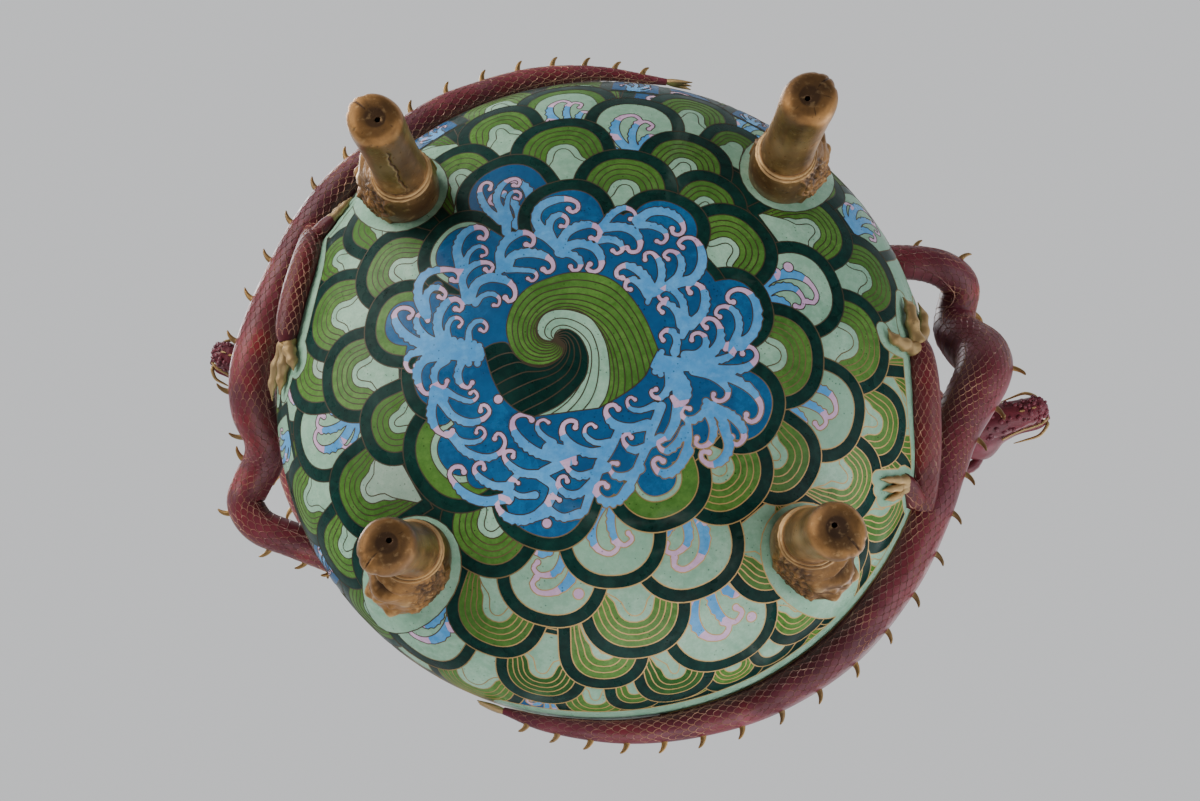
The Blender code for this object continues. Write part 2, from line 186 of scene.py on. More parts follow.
def metal(name, gold, deep, worn="e2bd84", rough=0.30, use_wear=True, patchy=0.5,
          least=0.12, place=False, shine=(0.72, 1.0), spread=0.24):
    """Gilding worn through to brown bronze, dark in the hollows, with fine painted glints of pale gold; wires get a
    painted highlight on one side.
    """
    k = Look(name)
    broad = k.ramp(k.noise(22.0, 5.0, 0.62, 0.6), 0.5 - 0.22 * patchy, 0.5 + 0.25)
    streak = k.ramp(k.noise(70.0, 4.0, 0.7), 0.34, 0.66)
    amount = k.math("MULTIPLY", k.math("ADD", least, k.math("MULTIPLY", broad, 1.0 - least)),
                    k.math("ADD", 0.62, k.math("MULTIPLY", streak, 0.38)))
    if use_wear:
        wear = k.attr("wear")
        amount = k.math("MULTIPLY", amount, k.ramp(wear, 0.05, 0.55, 0.12, 1.0))
    if place:
        # painted highlight: the wires are painted bright gold towards the +X, +Y side of the bowl, as if lit from
        # there, and dark brown elsewhere
        parts = k.add("ShaderNodeSeparateXYZ")
        k.set(parts.inputs[0], k.pos)
        lit_side = k.math("ADD", k.math("MULTIPLY", parts.outputs[0], 0.75), parts.outputs[1])
        lit_side = k.math("ADD", lit_side, k.math("MULTIPLY", k.noise(11.0, 3.0), 0.16))
        amount = k.math("MULTIPLY", k.ramp(lit_side, 0.12, 0.22, 0.08, 1.0), 1.0)
    col = k.mix(amount, lin(deep), lin(gold))
    # painted glints: fine specks of the pale worn colour laid into the base colour, joined with pale rubbed places
    # where the wear attribute is high
    glint = k.ramp(k.noise(240.0, 3.0), 0.55, 0.72)
    edge = k.math("MULTIPLY", glint, 0.35)
    if use_wear:
        edge = k.math("MAXIMUM", edge, k.ramp(k.attr("wear"), 0.62, 0.98))
    if place:
        edge = k.math("MULTIPLY", edge, amount)
    col = k.mix(k.math("MULTIPLY", edge, 0.7), col, lin(worn))
    spots = k.math("MULTIPLY", k.ramp(k.voronoi(420.0), 0.10, 0.26, 1.0, 0.0),
                   k.ramp(k.noise(60.0, 2.0), 0.5, 0.62))
    col = k.mix(k.math("MULTIPLY", spots, 0.40), col, lin(deep))
    k.put(Base_Color=col, Metallic=k.ramp(amount, 0.0, 0.6, shine[0], shine[1]),
          Roughness=k.ramp(k.noise(48.0, 4.0), 0.3, 0.75, rough, rough + spread))
    height = k.math("SUBTRACT", k.math("MULTIPLY", k.noise(190.0, 4.0), 0.5), spots)
    k.bump(height, 0.36, 0.00035)
    return k.mat


BRONZE = metal("gilt_bronze", "c29058", "3c2b21", "e4bc84", 0.31, patchy=0.75, least=0.32,
               shine=(0.70, 0.87), spread=0.20)
GILT = metal("gilt", "b98c4e", "46301f", "ecd09a", 0.32, patchy=0.8, least=0.2, shine=(0.62, 0.90))
RIM_GILT = metal("gilt_rim", "c4934c", "6a4a2c", "ecd09a", 0.22, use_wear=False, patchy=1.0, least=0.3)
WIRE = metal("cell_wire", "b4935c", "1a1815", "dcbf8a", 0.36, use_wear=False, place=True,
             shine=(0.30, 0.45))
RED_WIRE = metal("scale_wire", "e0ae8c", "5a2630", "f4d8ba", 0.28, use_wear=False, patchy=0.35, least=0.12,
                 shine=(0.15, 0.60))
INSIDE = metal("copper_inside", "7d5a3a", "3a2b22", "a9865c", 0.42, use_wear=False, patchy=0.4)


def dragon_look(name, main, shade, bright, hot):
    """Plum enamel: redder where it is thin, with a painted greyish-pink sheen in patches."""
    k = Look(name)
    cloud = k.ramp(k.noise(20.0, 4.0, 0.6, 0.5), 0.32, 0.70)
    flow = k.ramp(k.noise(160.0, 3.0), 0.35, 0.68)
    col = k.mix(cloud, lin(shade), lin(main))
    red = k.ramp(k.noise(15.0, 4.0, 0.6, 0.9), 0.55, 0.72)
    col = k.mix(k.math("MULTIPLY", red, 0.8), col, lin(hot))
    # painted sheen: greyish-pink patches laid into the colour
    pink_sheen = k.math("MULTIPLY", k.ramp(k.noise(26.0, 5.0, 0.7, 0.6), 0.52, 0.72), flow)
    col = k.mix(k.math("MULTIPLY", pink_sheen, 0.42), col, lin(bright))
    # random per-vertex tone from the wear attribute, towards the pale pink of the painted sheen
    cell = k.ramp(k.attr("wear"), 0.0, 1.0)
    col = k.mix(k.math("MULTIPLY", cell, 0.16), col, lin(bright))
    spots = k.math("MULTIPLY", k.ramp(k.voronoi(520.0), 0.10, 0.24, 1.0, 0.0),
                   k.ramp(k.noise(110.0, 2.0), 0.5, 0.64))
    col = k.mix(k.math("MULTIPLY", spots, 0.6), col, lin("1f0d10"))
    k.put(Base_Color=col, Metallic=0.0,
          Roughness=k.ramp(k.noise(55.0, 4.0), 0.3, 0.75, 0.30, 0.50))
    k.shader.inputs["Specular IOR Level"].default_value = 0.42
    k.bump(k.math("SUBTRACT", k.math("MULTIPLY", k.noise(170.0, 3.0), 0.6), spots), 0.35, 0.00035)
    return k.mat


# the third colour of each is the pale pink of the painted sheen
RED = dragon_look("plum_enamel", "6a1f29", "451521", "93596a", "86191c")
RED_DARK = dragon_look("plum_enamel_dark", "60171d", "3f1119", "823e4a", "7d181a")
WHITE = enamel("eye_white", "e4ded0", "cfc5b2", "f2eee4", "6d6256", 0.2, 0.4)
BLACK = enamel("eye_black", "14100f", "0c0908", "2b2420", "000000", 0.15, 0.2)


# --------------------------------------------------------- mesh utilities
def add_object(name, mesh, mats, node=None):
    obj = bpy.data.objects.new(name, mesh)
    bpy.context.scene.collection.objects.link(obj)
    for m in mats:
        mesh.materials.append(m)
    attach(obj, "root")
    if node:
        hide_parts(node)
    return obj


def smooth(mesh, angle=45.0):
    mesh.shade_smooth()
    mesh.set_sharp_from_angle(angle=math.radians(angle))


def catmull(rows, per_span):
    rows = [tuple(r) for r in rows]
    first = tuple(2 * a - b for a, b in zip(rows[0], rows[1]))
    last = tuple(2 * a - b for a, b in zip(rows[-1], rows[-2]))
    pts = [first] + rows + [last]
    out = []
    for i in range(1, len(pts) - 2):
        for k in range(per_span):
            t = k / per_span
            out.append(tuple(
                0.5 * (2 * b + (c - a) * t + (2 * a - 5 * b + 4 * c - d) * t * t
                       + (3 * b - a - 3 * c + d) * t ** 3)
                for a, b, c, d in zip(pts[i - 1], pts[i], pts[i + 1], pts[i + 2])))
    out.append(rows[-1])
    return out


class Heap:
    """Collects many small closed or open shapes into one mesh."""

    def __init__(self):
        self.verts, self.faces, self.mats, self.wear = [], [], [], []

    def rings(self, rings, mat=0, close=True, wear=0.7):
        base = len(self.verts)
        n = len(rings[0])
        for ring in rings:
            self.verts.extend(ring)
            self.wear.extend([wear] * n)
        for a in range(len(rings) - 1):
            for i in range(n):
                j = (i + 1) % n
                self.faces.append((base + a * n + i, base + a * n + j,
                                   base + (a + 1) * n + j, base + (a + 1) * n + i))
                self.mats.append(mat)
        if close:
            self.faces.append(tuple(base + i for i in reversed(range(n))))
            self.faces.append(tuple(base + (len(rings) - 1) * n + i for i in range(n)))
            self.mats.extend((mat, mat))

    def strip(self, rows, mat=0, wear=0.7):
        base = len(self.verts)
        n = len(rows[0])
        for row in rows:
            self.verts.extend(row)
            self.wear.extend([wear] * n)
        for a in range(len(rows) - 1):
            for i in range(n - 1):
                self.faces.append((base + a * n + i, base + a * n + i + 1,
                                   base + (a + 1) * n + i + 1, base + (a + 1) * n + i))
                self.mats.append(mat)

    def ball(self, centre, radii, turn=Matrix.Identity(3), mat=0, n=12, wear=0.7):
        rings = []
        for a in range(1, n // 2 + 1):
            t = math.pi * a / (n // 2 + 1)
            rings.append([centre + turn @ Vector((radii[0] * math.sin(t) * math.cos(TAU * i / n),
                                                  radii[1] * math.sin(t) * math.sin(TAU * i / n),
                                                  -radii[2] * math.cos(t))) for i in range(n)])
        self.rings(rings, mat, True, wear)

    def mesh(self, name, angle=45.0):
        mesh = bpy.data.meshes.new(name)
        mesh.from_pydata([tuple(v) for v in self.verts], [], self.faces)
        mesh.polygons.foreach_set("material_index", self.mats)
        layer = mesh.attributes.new("wear", "FLOAT", "POINT")
        layer.data.foreach_set("value", self.wear)
        mesh.update()
        smooth(mesh, angle)
        return mesh


# ------------------------------------------- the bowl's outside, unrolled
# A flat chart of the outside: distance from the pole along the surface is the
# radius of the chart, and the angle round the bowl is its angle.
def _profile_table():
    rows = [(0.0, 0.0, BELLY_Z - LOWER_H)]
    steps = 900
    for k in range(1, steps + 1):
        u = math.pi / 2 * k / steps
        rows.append((0.0, BODY_R * math.sin(u), BELLY_Z - LOWER_H * math.cos(u)))
    for k in range(1, 301):
        v = SHOULDER_END * k / 300
        rows.append((0.0, BODY_R * math.cos(v), BELLY_Z + UPPER_H * math.sin(v)))
    for k in range(1, 121):
        t = 1 - k / 120
        top = RIM_Z - RIM_T
        rows.append((0.0, NECK_R + (RIM_R - RIM_FLAT - NECK_R) * (1 - t) ** 2,
                     top + (NECK_Z + 4 - top) * t))
    out = [rows[0]]
    for a, b in zip(rows, rows[1:]):
        out.append((out[-1][0] + math.hypot(b[1] - a[1], b[2] - a[2]), b[1], b[2]))
    return np.array(out)


PROFILE = _profile_table()
S_BELLY = PROFILE[900, 0]
S_NECK = PROFILE[1200, 0]
S_TOP = PROFILE[-1, 0]
_dr = np.gradient(PROFILE[:, 1], PROFILE[:, 0])
_dz = np.gradient(PROFILE[:, 2], PROFILE[:, 0])


def radius_at(s):
    return float(np.interp(s, PROFILE[:, 0], PROFILE[:, 1]))


def arc_at_radius(r):
    return float(np.interp(r, PROFILE[:901, 1], PROFILE[:901, 0]))


def arc_at_height(z):
    return float(np.interp(z, PROFILE[:, 2], PROFILE[:, 0]))


def lift(points, height=0.0):
    """Chart points (mm) to places on the bowl (m), and outward normals."""
    points = np.asarray(points, float)
    s = np.hypot(points[:, 0], points[:, 1])
    th = np.arctan2(points[:, 1], points[:, 0])
    r = np.interp(s, PROFILE[:, 0], PROFILE[:, 1])
    z = np.interp(s, PROFILE[:, 0], PROFILE[:, 2])
    nr = np.interp(s, PROFILE[:, 0], -_dz) * -1
    nz = np.interp(s, PROFILE[:, 0], _dr) * -1
    ln = np.hypot(nr, nz)
    nr, nz = nr / ln, nz / ln
    rr = r + nr * height
    zz = z + nz * height
    pos = np.stack([rr * np.cos(th) + AXIS_X, rr * np.sin(th), zz], 1) * MM
    nor = np.stack([nr * np.cos(th), nr * np.sin(th), nz], 1)
    return pos, nor


# ------------------------------------------------------ shapes of the chart
SHAPES = []        # painter's order: (points, cell, colour, tint, clip)
_cells = [0]


def new_cell():
    _cells[0] += 1
    return _cells[0]


def paint(points, colour, cell=None, tint=None, clip=None):
    if cell is None:
        cell = new_cell()
    if tint is None:
        tint = rng.random()
    SHAPES.append((np.asarray(points, float), cell, colour, tint,
                   None if clip is None else np.asarray(clip, float)))
    return cell


def inside(poly, pts):
    x, y = pts[:, 0], pts[:, 1]
    res = np.zeros(len(pts), bool)
    n = len(poly)
    for i in range(n):
        xa, ya = poly[i]
        xb, yb = poly[(i + 1) % n]
        if ya == yb:
            continue
        hit = (ya > y) != (yb > y)
        if hit.any():
            res ^= hit & (x < (xb - xa) * (y - ya) / (yb - ya) + xa)
    return res


def label(pts):
    """Cell, colour and tint of each chart point, the last painted on top."""
    cell = np.zeros(len(pts), int)
    colour = np.full(len(pts), DARK)
    tint = np.full(len(pts), 0.3)
    order = np.argsort(pts[:, 0], kind="stable")
    xs = pts[order, 0]
    for poly, c, col, tn, clip in SHAPES:
        lo, hi = poly.min(0), poly.max(0)
        a, b = np.searchsorted(xs, (lo[0], hi[0]))
        if a >= b:
            continue
        idx = order[a:b]
        ys = pts[idx, 1]
        idx = idx[(ys >= lo[1]) & (ys <= hi[1])]
        if not len(idx):
            continue
        m = inside(poly, pts[idx])
        idx = idx[m]
        if clip is not None and len(idx):
            idx = idx[inside(clip, pts[idx])]
        cell[idx], colour[idx], tint[idx] = c, col, tn
    return cell, colour, tint


def local(theta, s0, uv, true_scale=False):
    """Local (across, outward) millimetres at an angle and distance to chart."""
    a = math.radians(theta)
    e = np.array([math.cos(a), math.sin(a)])
    f = np.array([-math.sin(a), math.cos(a)])
    out = []
    for u, w in uv:
        if true_scale:
            s = s0 + w
            ang = a + u / radius_at(min(max(s, 20.0), S_TOP))
            out.append((s * math.cos(ang), s * math.sin(ang)))
        else:
            out.append(tuple(e * (s0 + w) + f * u))
    return np.array(out)


def cap(a, p=2.25, n=22, depth=None):
    """The outline of a cell: a round top and straight sides."""
    depth = 1.1 * a if depth is None else depth
    pts = [(a, -depth)]
    for i in range(n + 1):
        t = math.pi * i / n
        c, s = math.cos(t), math.sin(t)
        pts.append((math.copysign(a * abs(c) ** (2 / p), c), a * abs(s) ** (2 / p)))
    pts.append((-a, -depth))
    return pts


def bell(a, d, beta, depth, p=2.25, n=11):
    """A line of a cell, d below its top: round for beta 0, a bell for beta 1."""
    top = a - d
    ak = max(a - 0.85 * d, 0.25 * a)
    full = top + depth
    half = []
    for i in range(1, n + 1):
        f = (i / n) ** 1.7
        h = full * f
        hh = min(h / max(top, 4.0), 1.0)
        u0 = ak * (1 - (1 - hh) ** p) ** (1 / p)
        d0 = 0.95 * max(top, 6.0) + 0.30 * a
        b0 = 0.50 * ak * math.sqrt(-2 * math.log(max(0.02, 1 - min(h / d0, 0.98))))
        b0 += max(0.0, h / d0 - 0.8) * a * 0.8
        half.append(((1 - beta) * u0 + beta * b0, top - h))
    return ([(u, w) for u, w in reversed(half)] + [(0.0, top)]
            + [(-u, w) for u, w in half])


BAND = 7.8


def stroke(points, widths, colour_at, cell, tint=None, clip=None, bumps=0.0, side=1):
    """A band along a line, painted as one quad for each step."""
    pts = np.asarray(points, float)
    n = len(pts)
    tang = np.gradient(pts, axis=0)
    tang /= np.maximum(np.linalg.norm(tang, axis=1), 1e-9)[:, None]
    perp = np.stack([-tang[:, 1], tang[:, 0]], 1)
    run = np.concatenate([[0], np.cumsum(np.linalg.norm(np.diff(pts, axis=0), axis=1))])
    left, right = [], []
    for i in range(n):
        w = widths[i] / 2
        extra = bumps * abs(math.sin(run[i] * math.pi / 3.4)) if bumps else 0.0
        left.append(pts[i] + perp[i] * (w + (extra if side > 0 else 0)))
        right.append(pts[i] - perp[i] * (w + (extra if side < 0 else 0)))
    for i in range(n - 1):
        paint([left[i], left[i + 1], right[i + 1], right[i]], colour_at(i / (n - 1)),
              cell, tint, clip)


def smooth_path(pts, per=6):
    return np.array(catmull([tuple(p) for p in pts], per))


KIND = {3: (7.2, 4.9, 3.1, 1.6), 2: (6.2, 4.1, 2.75, 1.15), 1: (5.0, 3.1, 2.3, 0.5)}


def finger(points, size, cell, tint=0.4, clip=None, k=1.0, lilac=0.60, conv=None):
    """A wave finger: wide at its root, narrow where it curls over, round at its end."""
    root_w, mid_w, hook_w, bumps = (v * k for v in KIND[size])
    line = resample(smooth_path(points, 7), 30 if size > 1 else 22)
    n = len(line)
    # the side it curls away from is the scalloped one
    d = np.gradient(line, axis=0)
    turn = float(np.sum(d[:-1, 0] * d[1:, 1] - d[:-1, 1] * d[1:, 0]))
    widths = np.interp(np.linspace(0, 1, n), (0, 0.22, 0.5, 0.78, 1.0),
                       (root_w, mid_w * 1.12, mid_w, hook_w, hook_w))
    run = np.concatenate([[0], np.cumsum(np.linalg.norm(np.diff(line, axis=0), axis=1))])
    d /= np.maximum(np.linalg.norm(d, axis=1), 1e-9)[:, None]
    perp = np.stack([-d[:, 1], d[:, 0]], 1)
    left, right = [], []
    for i in range(n):
        f = i / (n - 1)
        extra = 0.0
        if bumps and 0.12 < f < 0.72:
            extra = bumps * abs(math.sin(run[i] * math.pi / 3.6)) * math.sin(math.pi * (f - 0.12) / 0.6)
        left.append(line[i] + perp[i] * (widths[i] / 2 + (extra if turn < 0 else 0)))
        right.append(line[i] - perp[i] * (widths[i] / 2 + (extra if turn > 0 else 0)))
    put = (lambda q: q) if conv is None else (lambda q: conv([tuple(p) for p in q]))
    for i in range(n - 1):
        paint(put([left[i], left[i + 1], right[i + 1], right[i]]),
              LILAC if i / (n - 1) > lilac else LIGHT, cell, tint, clip)
    r = root_w / 2
    paint(put([line[0] + r * np.array([math.cos(TAU * i / 12), math.sin(TAU * i / 12)]) for i in range(12)]),
          LIGHT, cell, tint, clip)
    end = line[-1]
    r = hook_w * 0.66
    paint(put([end + r * np.array([math.cos(TAU * i / 10), math.sin(TAU * i / 10)]) for i in range(10)]),
          LILAC, cell, tint, clip)


def disc(x, y, r, colour, n=14, cell=None):
    return paint([(x + r * math.cos(TAU * i / n), y + r * math.sin(TAU * i / n))
                  for i in range(n)], colour, cell)


SPRAYS = [
    [(3, [(-3, -24), (-9.5, -12), (-9.5, 1), (-3.5, 10), (5, 12.5), (9.5, 9), (8, 5)]),
     (2, [(-1, -21), (-3.5, -9), (-1, 0), (6, 3.2), (10.5, 0.5), (9, -3)]),
     (2, [(1, -22), (3.5, -12), (8, -8), (13, -9.5), (13.5, -13.5), (10.5, -13.5)]),
     (1, [(-4, -24), (-13, -17), (-15.5, -9), (-13, -4.5), (-10, -7)])],
    [(3, [(4, -24), (-6, -14), (-11, -3), (-9, 7), (-2, 11), (3, 7.5), (1, 4)]),
     (2, [(4, -22), (0, -10), (1, 1), (6, 6.5), (11, 3.5), (9, 0)]),
     (2, [(6, -22), (7, -12), (11, -6), (15, -8.5), (13.5, -12.5)]),
     (1, [(1, -24), (-9, -20), (-14.5, -13), (-12.5, -8.5), (-9.5, -10.5)])]]


def spray(theta, s0, a, clip, true_scale=False, flip=1):
    """Hooked wave fingers that rise from the inner end of a cell."""
    k = a / 23.0
    cell = new_cell()
    conv = lambda pts: local(theta, s0, [(flip * u * k, w * k) for u, w in pts], true_scale)
    tint = rng.random() * 0.6
    trunk = smooth_path([(0, -32), (0.5, -24), (0.5, -15)], 4)
    stroke(conv(trunk), [15 * k - 7 * k * i / (len(trunk) - 1) for i in range(len(trunk))],
           lambda f: LIGHT, cell, tint, clip)
    for size, pts in SPRAYS[rng.randrange(2)]:
        finger(pts, size, cell, tint, clip, 1.0, 0.60, conv)


def scale_cell(theta, s_in, a, kind, true_scale=False, dot=None):
    s0 = s_in - a
    pl = lambda uv: local(theta, s0, uv, true_scale)
    outer = pl(cap(a + BAND, n=26, depth=1.25 * a))
    paint(outer, DARK, tint=rng.random() * 0.5)
    content = pl(cap(a))
    tint = rng.random()
    if kind[0] == "W":
        ground = DEEP if kind == "WB" else CELADON
        if kind == "WG":
            paint(content, LEAF, tint=tint)
            content = pl(cap(a - 6.0, depth=1.1 * a))
        paint(content, ground, tint=tint)
        spray(theta, s0, a * (0.82 if kind == "WG" else 1.0), content, true_scale,
              1 if (int(theta * 7) % 3) else -1)
        if dot is not None:
            disc(dot[1] * math.cos(math.radians(dot[0])),
                 dot[1] * math.sin(math.radians(dot[0])), 3.4, LILAC)
        return
    if kind == "P":
        paint(content, GREY if rng.random() < 0.3 else CELADON, tint=tint)
        return
    green = MOSS if kind == "RS" else LEAF
    pale = GREY if kind == "RP" else CELADON
    depth = 1.1 * a
    paint(content, green, tint=tint)
    zone = min(15.5, 0.66 * a)
    bands = 4 if a >= 21 else (3 if a >= 15 else 2)
    step = zone / bands
    for k in range(1, bands):
        d = step * k
        paint(pl(bell(a, d, 0.04 + 0.26 * d / 20.0, depth)), green,
              tint=min(1.0, max(0.0, tint + rng.uniform(-0.2, 0.2))), clip=content)
    paint(pl(bell(a, zone, 0.30, depth)), pale, tint=tint * 0.8, clip=content)
    d = zone + step
    if a - d > 1.5 and a > 16:
        paint(pl(bell(a, d, 0.62, depth)), pale, tint=tint * 0.6, clip=content)


SCALES = [
    (0.5, 123.5, 25, "R"), (13.5, 155, 24, "W"), (31, 138, 20, "R"), (46, 120, 23.6, "R"),
    (67, 148.5, 27, "W"), (87.5, 131.5, 24, "W"), (103, 158, 25.5, "W", (96, 143)),
    (83, 176, 25.7, "R"), (66, 200, 30, "W", (60, 181)), (50, 175, 22, "R"), (41, 206, 26, "R"),
    (51.5, 212.5, 17.7, "R"), (26, 182, 21, "R"), (12, 190, 19.5, "R"), (354.8, 172, 26.5, "R"),
    (90, 197, 20, "R"), (77, 216, 19, "RS"), (66.5, 223, 15.5, "R"), (44, 223, 12.5, "R"),
    (84.5, 219, 12, "R"), (91.5, 233, 20, "R"), (58.5, 217, 10, "P"), (101.5, 216, 22, "RS"),
    (123, 143.5, 22.5, "R"), (113, 188, 24, "R"), (162, 145.5, 17, "R"), (177, 168, 22, "R"),
    (151, 184, 23, "RP"), (167, 200, 23.5, "W"), (124.5, 224, 27.5, "W"), (136, 204, 22, "RP"),
    (145.5, 220, 20, "R"), (157, 232, 23, "R"), (113, 245, 28, "R"), (134.5, 243, 23, "R"),
    (181, 200, 24, "RP"), (194, 215, 18, "RP"), (169, 250, 18, "W"), (147, 250, 16, "WB"),
    (100.5, 252, 18, "WB"), (204.5, 157.5, 22, "R"), (191.5, 189.5, 23.5, "R"),
    (204, 203, 17.5, "R"), (214, 190, 20, "R"), (240, 138.5, 24, "WB"), (259, 156, 24.7, "R"),
    (277, 126, 24, "R"), (247, 188.5, 20, "R"), (233, 168, 20, "R"), (262, 200, 26.5, "WG"),
    (277, 178, 24, "W"), (236, 230, 16, "WB"), (276, 230, 16, "WB"), (212, 225, 14, "P"),
    (318.5, 119.5, 23, "R"), (303, 129, 17, "R"), (292, 152.5, 22, "R"),
    (340, 145.5, 24.6, "W", (333, 124)), (326, 175, 22.5, "R"), (340, 195.5, 24, "R"),
    (288.5, 200, 22, "R"), (328, 235, 24, "W"), (316, 205, 18, "R"), (340, 240, 18, "P"),
    (300, 180, 15, "R"), (299, 230, 14, "WB")]


def hidden_rows():
    """Rows of cells over the belly and the shoulder, all round."""
    out = []
    for row, (s_in, count, a, shift) in enumerate(((338, 21, 20, 0.0), (314, 22, 22, 0.5),
                                                   (290, 23, 23, 0.0), (266, 23, 24.5, 0.5),
                                                   (243, 23, 24.5, 0.0), (222, 21, 24, 0.5))):
        for k in range(count):
            th = 360.0 * (k + shift) / count + rng.uniform(-1.5, 1.5)
            kind = "W" if (k * 2 + row * 3) % 7 == 0 else "R"
            if (k + 2 * row) % 11 == 4:
                kind = "WB"
            out.append((th, s_in + rng.uniform(-2, 2), a + rng.uniform(-1.5, 1.0), kind))
    return out


LOBES = [(22, 104, 21), (68, 104, 24), (111, 115, 24), (145, 128, 28), (172, 113, 20),
         (190, 139, 20), (217, 124, 21), (255, 104.5, 21.5), (295, 102, 20), (341, 96, 19)]

